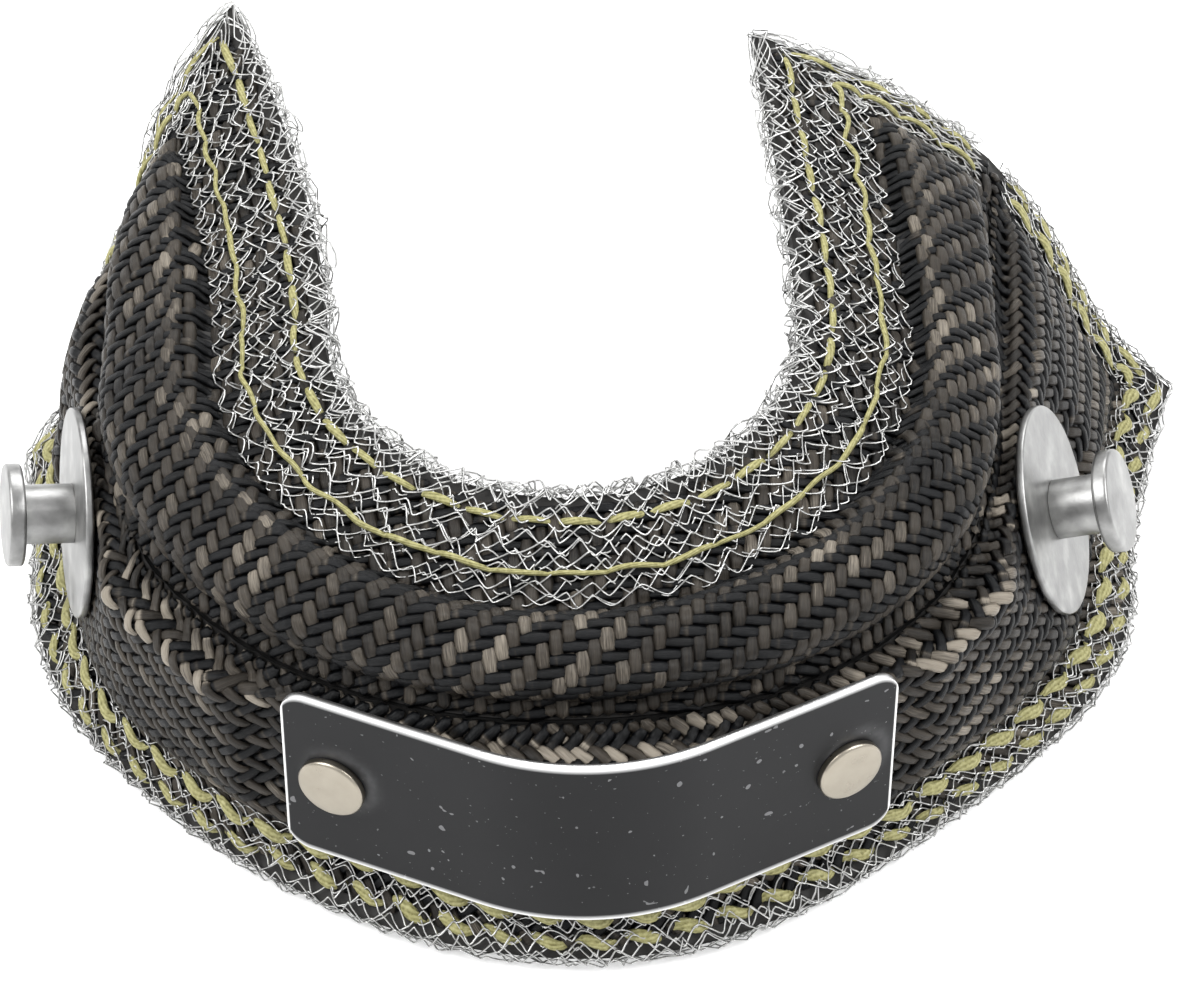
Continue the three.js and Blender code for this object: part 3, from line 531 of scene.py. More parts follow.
class Nodes:
    """Short forms for building the node tree of a material or of the surround."""

    def __init__(self, name, owner=None):
        self.material = owner or bpy.data.materials.new(name)
        self.material.use_nodes = True
        self.tree = self.material.node_tree
        self.surface = self.tree.nodes.get("Principled BSDF")

    def add(self, kind, settings=None, **inputs):
        """Adds a node of any kind, with its settings first and then its values or links."""
        node = self.tree.nodes.new(kind)
        for key, value in (settings or {}).items():
            setattr(node, key, value)
        for key, value in inputs.items():
            self.put(node.inputs[key.replace("_", " ")], value)
        return node

    def put(self, socket, value):
        if isinstance(value, Socket):
            self.tree.links.new(value.socket, socket)
        else:
            socket.default_value = value

    def out(self, node, name=0):
        return Socket(self, node.outputs[name])

    def set(self, **inputs):
        for key, value in inputs.items():
            self.put(self.surface.inputs[key.replace("_", " ")], value)

    def attribute(self, name, output="Fac"):
        node = self.add("ShaderNodeAttribute", {"attribute_name": name})
        return self.out(node, output)

    def objects(self):
        return self.out(self.add("ShaderNodeTexCoord"), "Object")

    def noise(self, vector, scale, detail=2.0, rough=0.5):
        node = self.add("ShaderNodeTexNoise", Vector=vector, Scale=scale, Detail=detail, Roughness=rough)
        return self.out(node, "Fac")

    def ramp(self, value, *stops):
        node = self.add("ShaderNodeValToRGB", Fac=value)
        elements = node.color_ramp.elements
        for element, (place, _) in zip(elements, stops):
            element.position = place
        for place, _ in stops[2:]:
            elements.new(place)
        for element, (_, colour) in zip(elements, stops):
            element.color = (*colour, 1)
        return self.out(node, "Color")

    def mix(self, factor, first, second):
        node = self.add("ShaderNodeMix", {"data_type": "RGBA"})
        self.put(node.inputs[0], factor)
        self.put(node.inputs[6], first)
        self.put(node.inputs[7], second)
        return self.out(node, 2)

    def bump(self, height, distance, strength=1.0):
        node = self.add("ShaderNodeBump", Height=height, Distance=distance, Strength=strength)
        return self.out(node, "Normal")


class Socket:
    """A node's output that takes part in plain arithmetic."""

    def __init__(self, nodes, socket):
        self.nodes = nodes
        self.socket = socket

    def maths(self, operation, *others, clamp=False):
        settings = {"operation": operation, "use_clamp": clamp}
        node = self.nodes.add("ShaderNodeMath", settings)
        for slot, value in zip(node.inputs, (self, *others)):
            self.nodes.put(slot, value)
        return self.nodes.out(node)

    def __add__(self, other):
        return self.maths("ADD", other)

    def __sub__(self, other):
        return self.maths("SUBTRACT", other)

    def __mul__(self, other):
        return self.maths("MULTIPLY", other)

    __radd__ = __add__
    __rmul__ = __mul__

    def __rsub__(self, other):
        return self * -1.0 + other

    def sine(self):
        return self.maths("SINE")

    def above(self, limit):
        return self.maths("GREATER_THAN", limit)

    def clamped(self):
        return self.maths("ADD", 0.0, clamp=True)


def tow_material():
    """Basalt tows: near-black filaments, their colour lifted on some floats by a painted warm sheen and
    painted highlights, and tinted on the others by a painted cool reflection.
    """
    nodes = Nodes("basalt_tow")
    tone_and_sheen = nodes.attribute("tone_and_sheen")
    fibre = nodes.attribute("fibre", "Vector")
    hairs = nodes.noise(fibre, 1.0, 3.0, 0.6)
    streak = nodes.noise(fibre, 0.45, 2.0)
    tone = (tone_and_sheen + hairs * 0.4 + streak * 0.25 - 0.325).clamped()
    # the ramp's dark bluish foot, used by the weft floats, is a painted cool reflection, and its warm top
    # is the painted sheen and highlights
    colour = nodes.ramp(
        tone,
        (0.0, (0.0015, 0.0017, 0.002)),
        (0.42, (0.0045, 0.0051, 0.0063)),
        (0.52, (0.012, 0.0105, 0.009)),
        (0.78, (0.062, 0.053, 0.043)),
        (1.0, (0.34, 0.3, 0.245)),
    )
    nodes.set(Base_Color=colour, Roughness=streak * 0.2 + 0.28, Normal=nodes.bump(hairs, 0.00009, 1.0))
    nodes.surface.inputs["Specular IOR Level"].default_value = 0.18
    return nodes.material


def backing_material():
    """The dark cloth that shows between tows."""
    nodes = Nodes("basalt_backing")
    speck = nodes.noise(nodes.objects(), 1500.0)
    colour = nodes.mix(speck, (0.004, 0.004, 0.004, 1), (0.02, 0.018, 0.016, 1))
    nodes.set(Base_Color=colour, Roughness=0.7)
    return nodes.material


def liner_material():
    """Dark inner cloth under the inside mesh."""
    nodes = Nodes("liner_cloth")
    speck = nodes.noise(nodes.objects(), 900.0)
    colour = nodes.mix(speck, (0.012, 0.011, 0.01, 1), (0.04, 0.037, 0.033, 1))
    nodes.set(Base_Color=colour, Roughness=0.75)
    return nodes.material


def wire_material():
    """Bright drawn stainless wire."""
    nodes = Nodes("stainless_wire")
    tone = nodes.noise(nodes.objects(), 350.0)
    colour = nodes.mix(tone, (0.36, 0.36, 0.355, 1), (0.62, 0.62, 0.61, 1))
    nodes.set(Base_Color=colour, Roughness=0.3, Metallic=1.0)
    return nodes.material


def thread_material():
    """Dull straw-yellow aramid thread with its twist."""
    nodes = Nodes("aramid_thread")
    lane = nodes.attribute("lane")
    place = nodes.objects()
    grain = nodes.noise(place, 2200.0)
    twist = (lane * 25.0 + grain * 3.0).sine()
    colour = nodes.ramp(
        grain + twist * 0.12,
        (0.2, (0.17, 0.155, 0.05)),
        (0.5, (0.35, 0.33, 0.135)),
        (0.8, (0.5, 0.475, 0.24)),
    )
    nodes.set(Base_Color=colour, Roughness=0.62, Normal=nodes.bump(twist, 0.00002, 0.8))
    return nodes.material


def aluminium_material():
    """Tumbled aluminium with faint turning marks and small scratches."""
    nodes = Nodes("satin_aluminium")
    place = nodes.objects()
    cloud = nodes.noise(place, 260.0, 4.0)
    grain = nodes.noise(place, 1800.0, 3.0)
    blotch = nodes.ramp(
        cloud,
        (0.3, (0.2, 0.2, 0.198)),
        (0.5, (0.3, 0.3, 0.296)),
        (0.72, (0.46, 0.46, 0.45)),
    )
    nodes.set(Base_Color=blotch, Metallic=1.0, Roughness=cloud * 0.3 + 0.22)
    nodes.set(Normal=nodes.bump(grain, 0.00004, 0.5))
    return nodes.material


def nickel_material():
    """Warm satin nickel, a little clouded."""
    nodes = Nodes("satin_nickel")
    cloud = nodes.noise(nodes.objects(), 420.0, 3.0)
    colour = nodes.mix(cloud, (0.29, 0.262, 0.215, 1), (0.4, 0.365, 0.305, 1))
    nodes.set(Base_Color=colour, Metallic=1.0, Roughness=cloud * 0.15 + 0.22)
    return nodes.material


def plate_material():
    """A satin black coat on aluminium: bare at its rims and its back, with specks and rubs, and a lighter
    crescent beside each rivet head.
    """
    nodes = Nodes("coated_plate")
    bare = nodes.attribute("bare")
    place = nodes.objects()
    rivet_crescent = nodes.attribute("rivet_crescent")
    specks = nodes.noise(place, 620.0, 1.0).above(0.735)
    fine = nodes.noise(place, 2100.0, 1.0).above(0.76)
    rubs = nodes.noise(place, 130.0, 6.0, 0.7).above(0.71)
    # a lighter crescent beside each rivet head, on the side towards the plate's top and right end
    rivet_crescent_marks = rivet_crescent * nodes.noise(place, 500.0, 3.0) * 0.5
    marks = specks.maths("MAXIMUM", fine * 0.7).maths("MAXIMUM", rubs * 0.25).maths("MAXIMUM", rivet_crescent_marks)
    cloud = nodes.noise(place, 90.0, 3.0)
    coat = nodes.mix(cloud, (0.008, 0.0082, 0.009, 1), (0.015, 0.0154, 0.0168, 1))
    marked = nodes.mix(marks * 0.5, coat, (0.36, 0.36, 0.37, 1))
    colour = nodes.mix(bare, marked, (0.84, 0.84, 0.84, 1))
    nodes.set(Base_Color=colour, Metallic=bare, Roughness=cloud * 0.12 + 0.3)
    nodes.surface.inputs["Specular IOR Level"].default_value = 0.15
    return nodes.material


MATERIALS = dict(
    tow=tow_material(),
    backing=backing_material(),
    liner=liner_material(),
    wire=wire_material(),
    thread=thread_material(),
    aluminium=aluminium_material(),
    nickel=nickel_material(),
    plate=plate_material(),
)


def pad(name, top, under, replaced):
    """The panel's body: a closed shell from just under the tows down to the liner's face, with
    a wall all round that joins the two grids of u and w."""
    u_list = np.linspace(-1.008, 1.008, 181)
    u, share = np.meshgrid(u_list, np.linspace(0, 1, 31), indexing="ij")
    w = lerp(-top.panel.from_edge(u, PAD_OVER_EDGE), 1, share)
    upper = top.point(u, w, np.full(u.shape, -PAD_UNDER_TOWS))
    lower = under.point(u, w, np.full(u.shape, -PAD_OVER_LINER))
    rows, columns = u.shape
    faces = [
        grid_faces(rows, columns),
        grid_faces(rows, columns, rows * columns)[:, ::-1],
    ]
    index = np.arange(rows * columns).reshape(rows, columns)
    rim = np.concatenate([index[:, 0], index[-1, 1:], index[::-1, -1][1:], index[0, ::-1][1:-1]])
    after = np.roll(rim, -1)
    below = rows * columns
    faces.append(np.stack([rim, rim + below, after + below, after], -1))
    quads = np.concatenate(faces)
    if top.panel.outwards < 0:
        quads = quads[:, ::-1]
    points = np.concatenate([upper, lower])
    piece = mesh_piece(name, points, quads[:, ::-1], MATERIALS["backing"], replaced)
    piece.data.materials.append(MATERIALS["liner"])
    inner = np.zeros(len(quads), np.int32)
    inner[len(faces[0]): len(faces[0]) + len(faces[1])] = 1
    piece.data.polygons.foreach_set("material_index", inner)


def weave(name, skin, places, reach, pitches, turn, slant):
    """2 by 2 twill as two families of crowned tows. places(x, y) gives u, w and whether cloth
    coordinates lie on the panel; turn is the cloth's angle on it and slant the twill's hand.
    Where tow i of one family meets tow j of the other, the height of the first follows
    clip(1.7 sin(pi/2 (j - slant i) + pi/4), -1, 1), and that of the second is its negative."""
    for family, kind in enumerate(("_weft", "_warp")):
        pitch, other = pitches[family], pitches[1 - family]
        lines = int(reach[1 - family] / pitch) // 2 * 2
        samples = int(reach[family] / other * SAMPLES_PER_CROSSING)
        order = np.arange(lines) - lines // 2
        steps = (np.arange(samples) - samples // 2) * other / SAMPLES_PER_CROSSING
        line, step = np.meshgrid(order, steps, indexing="ij")
        cross = line * pitch + 0.09 * pitch * waves(line * 7.0, step, 4, 20, 60, 11 + family)
        cloth = (step, cross) if family == 0 else (cross, step)
        x = cloth[0] * math.cos(turn) - cloth[1] * math.sin(turn)
        y = cloth[0] * math.sin(turn) + cloth[1] * math.cos(turn)
        u, w, valid = places(x, y)
        crossing = step / other
        meeting = crossing - slant * line if family == 0 else line - slant * crossing
        phase = meeting * math.pi / 2 + math.pi / 4
        over = np.clip(np.sin(phase) * (1.7 if family == 0 else -1.7), -1, 1)
        centres = skin.point(u, w, TOW_RISE * over - TOW_SINK)
        up = skin.normal(u, w)
        along_tow = unit(np.gradient(centres, axis=1))
        across = unit(np.cross(along_tow, up))
        # Each float has its own random tone; warp floats carry a painted sheen, lighter in broad patches,
        # some weft floats a painted highlight where they dip, and the bead painted highlights.
        float_number = np.floor(phase / (2 * math.pi))
        chance = hash_noise(line, float_number, family)
        turn_share = phase / math.pi - 2 * float_number
        # painted highlight where some weft floats dip down into the weave
        bend_highlight = np.exp(-(((turn_share - 0.19) / 0.1) ** 2)) * (hash_noise(line, float_number, 5) > 0.45)
        on_bead = skin.beaded * bead(u, w, 0.06, 0.6)
        # painted sheen of the warp floats, lighter in broad patches over the cloth
        sheen_patch = np.clip(0.5 + 0.35 * waves(x, y, 6, 22, 60, 71), 0, 1)
        warp_sheen = 0.46 + 0.48 * (0.5 * chance ** 1.5 + 0.5 * sheen_patch)
        tone_and_sheen = 0.36 * chance + 0.65 * bend_highlight if family == 0 else warp_sheen
        # painted highlights on the floats of the gathered bead
        tone_and_sheen = np.clip(tone_and_sheen + on_bead * (0.45 * chance - 0.05), 0, 1)
        # Tows swell and thin a little along their length, and spread where they float.
        swell = 1 + 0.07 * waves(line * 3.1, step, 4, 3, 9, 17 + family)
        half = TOW_WIDTH * pitch * swell * (0.93 + 0.07 * over)
        tall = np.full(half.shape, TOW_CROWN)
        points, faces = strands(centres, across, up, half, tall, TOW_OUTLINE, valid)
        sides = len(TOW_OUTLINE)
        lane = np.broadcast_to(TOW_OUTLINE[:, 0] * pitch, (*half.shape, sides))
        lane = lane + 3.0 * line[..., None]
        tone_and_sheen = np.broadcast_to(tone_and_sheen[..., None], lane.shape)
        fibre = np.stack([lane * 7.0, np.broadcast_to(step[..., None] * 0.5, lane.shape)], -1)
        points, faces, kept = compact(points, faces, dict(fibre=fibre, tone_and_sheen=tone_and_sheen))
        mesh_piece(name + kind, points, faces, MATERIALS["tow"], attributes=kept)


def hash_noise(a, b, seed):
    """A repeatable random share for each pair of whole numbers."""
    value = np.sin(a * 127.1 + b * 311.7 + seed * 74.7) * 43758.5453
    return value - np.floor(value)


def roof_places(skin):
    """Cloth coordinates are plan coordinates of the puffed panel laid flat, edge(u) + L(u) share
    towards the crease. A raster of the nearest nodes of a coarse grid gives the start, and
    Newton steps the rest."""
    front = roof.width(np.array([0.0]))[0]

    def flat(u, share):
        edge = along(NECK, u)[..., :2]
        out = unit(along(CREASE, u)[..., :2] - edge)
        return edge + out * (skin.across * roof.width(u) / front * share)[..., None]

    u, share = np.meshgrid(np.linspace(-1.05, 1.05, 127), np.linspace(-0.02, 1.02, 9), indexing="ij")
    nodes = flat(u, share).reshape(-1, 2)
    cell = 2.0
    low = nodes.min(0) - cell
    counts = ((nodes.max(0) - low) / cell).astype(int) + 2
    column = np.arange(counts[0]) * cell + low[0]
    row = np.arange(counts[1]) * cell + low[1]
    gap_x = (column[:, None] - nodes[:, 0]) ** 2
    gap_y = (row[:, None] - nodes[:, 1]) ** 2
    nearest = (gap_x[:, None] + gap_y[None]).argmin(-1)

    def places(x, y):
        target = np.stack([x.ravel(), y.ravel()], -1)
        spot = np.clip(np.rint((target - low) / cell).astype(int), 0, counts - 1)
        start = nearest[spot[:, 0], spot[:, 1]]
        u_now, share_now = u.ravel()[start], share.ravel()[start]
        for _ in range(6):
            du = (flat(u_now + 1e-3, share_now) - flat(u_now - 1e-3, share_now)) / 2e-3
            dw = (flat(u_now, share_now + 1e-3) - flat(u_now, share_now - 1e-3)) / 2e-3
            error = target - flat(u_now, share_now)
            determinant = du[:, 0] * dw[:, 1] - du[:, 1] * dw[:, 0]
            determinant = np.where(np.abs(determinant) < 1e-6, 1e-6, determinant)
            step_u = (error[:, 0] * dw[:, 1] - error[:, 1] * dw[:, 0]) / determinant
            step_w = (du[:, 0] * error[:, 1] - du[:, 1] * error[:, 0]) / determinant
            u_now = u_now + np.clip(step_u, -0.02, 0.02)
            share_now = share_now + np.clip(step_w, -0.1, 0.1)
        w = skin.w_at(np.clip(share_now, 0, 1))
        found = np.linalg.norm(target - flat(u_now, share_now), axis=-1) < 0.5
        inside = found & (np.abs(u_now) < 0.99) & (share_now > 0.02) & (share_now < 1)
        return u_now.reshape(x.shape), w.reshape(x.shape), inside.reshape(x.shape)

    return places


def wall_places(skin):
    """Cloth coordinates run along the wall's middle line and up its face."""
    u_list = np.linspace(-1.02, 1.02, 801)
    middle = wall.middle(u_list, np.full(u_list.shape, 0.5))
    steps = np.linalg.norm(np.diff(middle, axis=0), axis=-1)
    run = np.concatenate([[0], np.cumsum(steps)])
    run -= np.interp(0, u_list, run)

    def places(x, y):
        u = np.interp(x, run, u_list)
        share = y / skin.across + 0.5
        w = skin.w_at(np.clip(share, 0, 1))
        inside = (np.abs(u) < 0.99) & (share > 0.02) & (share < 1)
        return u, w, inside

    return places


class Bound:
    """The bound edge of a panel, from the crease at the left end round to the crease at the right.
    run is the distance along it, and reach the distance from the middle of the fold, positive on
    the cover's side."""

    FOLD = 5.2
    END_STEPS = 12
    MAIN_STEPS = 90

    def __init__(self, panel, top, under, overhang):
        self.panel = panel
        self.top = top
        self.under = under
        self.overhang = overhang
        left = self.arm_end(-1)
        right = self.arm_end(1)
        mitres = left[-1, 2], right[-1, 2]
        u = np.linspace((mitres[0] - 1) / 2, (mitres[1] + 1) / 2, self.MAIN_STEPS)
        main = np.stack([u, 0 * u, np.clip(u, *mitres), panel.from_edge(u, panel.hem)], -1)
        path = np.concatenate([left, main, right[::-1]])
        self.edges = path[:, :2]
        self.insides = path[:, 2:]
        level = np.zeros(len(path))
        half_way = (top.point(*self.edges.T, level) + top.point(*self.insides.T, level)) / 2
        steps = np.linalg.norm(np.diff(half_way, axis=0), axis=-1)
        self.run = np.concatenate([[0], np.cumsum(steps)])
        self.length = self.run[-1]

    def arm_end(self, side):
        """Rows of u and w on the fold and u and w inside it, from the crease to the mitre."""
        hem = self.panel.from_edge(np.array([side]), self.panel.hem)
        w = np.append(np.linspace(0.965, hem[0] + 0.04, self.END_STEPS), hem)
        fold_w = np.append(w[:-1], 0)
        return np.stack([np.full(w.shape, side), fold_w, self.panel.from_end(side, w, END_HEM), w], -1)

    def columns(self, run):
        """u and w on the fold and inside it, at distances along the edge."""
        four = [np.interp(run, self.run, values) for values in (*self.edges.T, *self.insides.T)]
        return np.stack(four[:2], -1), np.stack(four[2:], -1)

    def outward(self, edge):
        """The way out of the panel, down its face at the edge and along it at the arm's end."""
        u, w = edge[..., 0], edge[..., 1]
        du, dw = self.panel.tangents(u, w)
        down = smoothstep(w, 0.12, 0)[..., None]
        out = smoothstep(np.abs(u), 0.9, 1)[..., None]
        return unit(-unit(dw) * down + unit(du) * np.sign(u)[..., None] * out + 1e-6)

    def point(self, run, reach, lift):
        """The legs follow the panel's two faces; between them a half circle closes the fold."""
        edge, inside = self.columns(run)
        half_fold = self.FOLD / 2
        leg = self.panel.hem
        share = np.clip((np.abs(reach) - half_fold) / leg, -0.02, 1.25)
        u = lerp(edge[..., 0], inside[..., 0], share)
        w = lerp(edge[..., 1], inside[..., 1], share)
        on_top = self.top.point(u, w, lift)
        on_under = self.under.point(u, w, lift)
        leg_point = np.where((reach > 0)[..., None], on_top, on_under)
        high = self.top.point(edge[..., 0], edge[..., 1], 0 * run + lift)
        low = self.under.point(edge[..., 0], edge[..., 1], 0 * run + lift)
        centre = (high + low) / 2
        angle = np.clip(reach / half_fold, -1, 1) * math.pi / 2
        bulge = (self.overhang + lift) * np.cos(angle)
        fold = centre + (high - centre) * np.sin(angle)[..., None] + self.outward(edge) * bulge[..., None]
        in_fold = (np.abs(reach) < half_fold)[..., None]
        return np.where(in_fold, fold, leg_point)

    def normal(self, run, reach, lift):
        step = 0.25
        ahead = self.point(run + step, reach, lift) - self.point(run - step, reach, lift)
        over = self.point(run, reach + step, lift) - self.point(run, reach - step, lift)
        normal = unit(np.cross(ahead, over))
        rise = self.point(run, reach, lift + 0.2) - self.point(run, reach, lift)
        return normal * np.sign((normal * rise).sum(-1))[..., None]


def knit(name, locate, length, first_row, last_row, layers, replaced=()):
    """Knitted wire: each course is one wire that loops to and fro along the binding. A course
    at height y follows run = wale (t / 2 pi - 0.03 sin 2t), reach = y + B cos t and
    lift = C cos 2t, and slow random waves push it out of true."""
    parts = []
    for number, (lift, loose, phase, wale, course, slant) in enumerate(layers):
        rows = int((last_row - first_row) / course) + 1
        loops = int(length / wale)
        t = np.linspace(0, 2 * np.pi * loops, loops * KNIT_STEPS + 1)
        row, turn = np.meshgrid(np.arange(rows), t, indexing="ij")
        base = turn / (2 * np.pi) * wale + phase * wale
        level = first_row + (row + 0.5) * (last_row - first_row) / rows
        run = base - wale * 0.03 * np.sin(2 * turn)
        rim = np.minimum(row, rows - 1 - row) == 0
        swing = np.where(rim, 0.5, 0.6)
        loose = loose * np.where(rim, 0.7, 1)
        reach = level + course * swing * np.cos(turn + np.pi * (row % 2))
        seed = 30 + 10 * number
        run = run + loose * wale * 0.26 * waves(base, level * 3.0, 8, 5, 12, seed)
        reach = reach + loose * course * 0.3 * waves(base, level * 3.0, 8, 5, 12, seed + 1)
        run = run + slant * reach
        high = lift + 0.16 * np.cos(2 * turn) + loose * 0.2 * waves(base, level * 5.0, 8, 2, 8, seed + 2)
        high = np.maximum(high, 0.12)
        inside = (run > 0.2) & (run < length - 0.2)
        centres = locate(run, reach, high)
        parts.append(wire_mesh(centres, inside, WIRE))
    points = np.concatenate([p[0] for p in parts])
    offsets = np.cumsum([0] + [len(p[0]) for p in parts[:-1]])
    faces = np.concatenate([p[1] + o for p, o in zip(parts, offsets)])
    mesh_piece(name, points, faces, MATERIALS["wire"], replaced)


def wire_mesh(centres, valid, radius):
    """Thin wires of three sides along lines of centres."""
    tangent = unit(np.gradient(centres, axis=1))
    helper = np.broadcast_to(np.array([0.31, 0.17, 0.93]), tangent.shape)
    across = unit(np.cross(tangent, helper))
    up = np.cross(across, tangent)
    size = np.full(centres.shape[:2], radius)
    points, faces = strands(centres, across, up, size, size, outline(3), valid)
    points, faces, _ = compact(points, faces, {})
    return points, faces


def stitch_row(name, solid, bound, off_fold, seed, face=-1, pitch=6, width=0.8, flat=0.7,
               swell=0.2, lift=0.5, wander=0.2, slant=0):
    """One row of thread at a distance off the fold. Each stitch is a leaf of half width
    (1 - swell + swell f) width / 2, with f = sin(pi t) ^ 0.7 between two needle holes, where it
    dives into the mesh; the row wanders a little about its line."""
    count = int(bound.length / pitch)
    t = np.linspace(0, count, count * STITCH_STEPS + 1)
    run = t / count * (bound.length - 3) + 1.5
    phase = t - np.floor(t)
    full = np.sin(np.pi * phase) ** 0.7
    reach = face * (off_fold + Bound.FOLD / 2) + wander * waves(run, 0 * run, 6, 6, 17, seed)
    reach = reach + slant * np.sin(2 * np.pi * np.clip(phase, 0.08, 0.92) - np.pi) * -0.5
    tall = lift + 0.45 * full - 0.5 * (1 - full)
    line = bound.point(run, reach, tall)[None]
    up = bound.normal(run, reach, tall)[None]
    tangent = unit(np.gradient(line, axis=1))
    across = unit(np.cross(tangent, up))
    lean = 0.35 * (hash_noise(np.floor(t), 0 * t, seed) - 0.5)
    across = unit(across + tangent * lean[None, :, None])
    half = 0.5 * width * ((1 - swell) + swell * full)
    half = half * (0.85 + 0.3 * hash_noise(np.floor(t), 1 + 0 * t, seed))
    points, faces = strands(line, across, up, half[None], (half * flat)[None], outline(STITCH_SIDES))
    around = np.abs(np.linspace(-1, 1, STITCH_SIDES, endpoint=False))
    lane = np.broadcast_to(run[None, :, None] * 0.12 + around, points.shape[:-1])
    lanes = dict(lane=lane[..., None])
    mesh_piece(name, points, faces, MATERIALS["thread"], [solid], attributes=lanes)


def lathe(name, profile, place, metal, solid):
    """A turned piece: each (radius, height) of the profile at (radius cos a, radius sin a, height).
    The profile starts and ends on the axis, or closes on itself."""
    radius, height = np.array(profile, float).T
    angle = 2 * np.pi * np.arange(LATHE_SEGMENTS) / LATHE_SEGMENTS
    x = radius[:, None] * np.cos(angle)
    y = radius[:, None] * np.sin(angle)
    z = np.broadcast_to(height[:, None], x.shape)
    origin, turn = place
    points = np.stack([x, y, z], -1) @ turn.T + origin
    faces = grid_faces(len(profile), LATHE_SEGMENTS, wrap=True)
    tidy(mesh_piece(name, points, faces, MATERIALS[metal], [solid]))


def tidy(piece):
    """Merges doubled points, drops flat faces and turns the faces outwards."""
    work = bmesh.new()
    work.from_mesh(piece.data)
    bmesh.ops.remove_doubles(work, verts=work.verts, dist=1e-6)
    bmesh.ops.dissolve_degenerate(work, edges=work.edges, dist=1e-7)
    bmesh.ops.recalc_face_normals(work, faces=work.faces)
    work.to_mesh(piece.data)
    work.free()
    piece.data.set_sharp_from_angle(angle=math.radians(35))


def rounded(points, radius, steps=4):
    """Rounds each inner corner of a profile by an arc-like curve of the given size."""
    result = [points[0]]
    for before, corner, after in zip(points, points[1:], points[2:]):
        a, c, b = (np.array(p, float) for p in (before, corner, after))
        cut = min(radius, 0.45 * np.linalg.norm(a - c), 0.45 * np.linalg.norm(b - c))
        start = c + (a - c) / np.linalg.norm(a - c) * cut
        end = c + (b - c) / np.linalg.norm(b - c) * cut
        for t in np.linspace(0, 1, steps + 1):
            result.append(tuple((1 - t) ** 2 * start + 2 * t * (1 - t) * c + t * t * end))
    result.append(points[-1])
    return result


def ring(radius, low, high, softness):
    """The rounded section of a flat ring round the capstan's bore, which ends where it starts."""
    corners = [(CAPSTAN_BORE, low), (radius, low), (radius, high), (CAPSTAN_BORE, high)]
    return closed(corners, softness)


def closed(corners, softness):
    """A rounded profile through all corners, which ends where it starts."""
    profile = rounded(corners + corners[:2], softness)[1:-1]
    return profile + profile[:1]


def capstan(place, side):
    """A base disc, a sleeve and a wide-capped rivet on one axis, and a washer behind the liner."""
    seat = GRIP + CLEARANCE
    low = seat + DISC_THICKNESS - LAP
    high = low + SLEEVE_LENGTH + 2 * LAP
    cap_low = high - 0.02
    cap_high = high + CAP_THICKNESS - LAP
    back = -seat - WASHER_THICKNESS
    tail = back - TAIL_THICKNESS
    shank = [(0, tail), (3.6, tail), (3.8, tail + 1.15), (2.4, tail + 1.2), (2.4, cap_low)]
    cap = [(CAP_RADIUS, cap_low), (CAP_RADIUS, cap_high), (0, cap_high)]
    parts = dict(
        base_disc=ring(DISC_RADIUS, seat, seat + DISC_THICKNESS, 0.3),
        sleeve=ring(SLEEVE_RADIUS, low, high, 0.2),
        rivet=rounded(shank + cap, 0.45),
        back_washer=ring(WASHER_RADIUS, back, -seat, 0.25),
    )
    for part, profile in parts.items():
        lathe(f"{side}_{part}", profile, place, "aluminium", f"{side}_capstan_{part}")


def plate_rivet(sign, side):
    """A low-domed head on the plate, top(r) = top - 0.25 (r / R)^4, its shank, and the cap that
    closes it on the inside, whose depth comes from the frame."""
    run = np.array([sign * (PLATE_LENGTH / 2 - RIVET_FROM_END)])
    origin = plate_point(run, 0.0, 0.0)[0]
    axis = unit(plate_point(run, 0.0, -1.0) - plate_point(run, 0.0, 0.0))[0]
    place = frame_along(origin, axis)
    low, high = (np.array(corner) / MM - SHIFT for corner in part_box(side + "_plate_rivet_cap"))
    inner = ((low + high) / 2 - origin) @ place[1][:, 2]
    top = LAP + RIVET_THICKNESS
    radii = np.linspace(RIVET_RADIUS - 0.15, 0, 12)
    shank = [(0, inner - 0.6), (1.5, inner - 0.6), (1.5, LAP)]
    rim = [(RIVET_RADIUS + 0.1, LAP), (RIVET_RADIUS + 0.1, top - 0.45)]
    dome = [(radius, top - 0.25 * (radius / RIVET_RADIUS) ** 4) for radius in radii]
    head = rounded(shank + rim + dome, 0.25)
    lathe(side + "_rivet_head", head, place, "nickel", side + "_plate_rivet")
    corners = [(1.7, inner + 0.5), (RIVET_RADIUS, inner + 0.5), (RIVET_RADIUS - 0.2, inner - 0.5)]
    cap = closed(corners + [(1.7, inner - 0.7)], 0.2)
    lathe(side + "_rivet_cap", cap, place, "nickel", side + "_plate_rivet_cap")


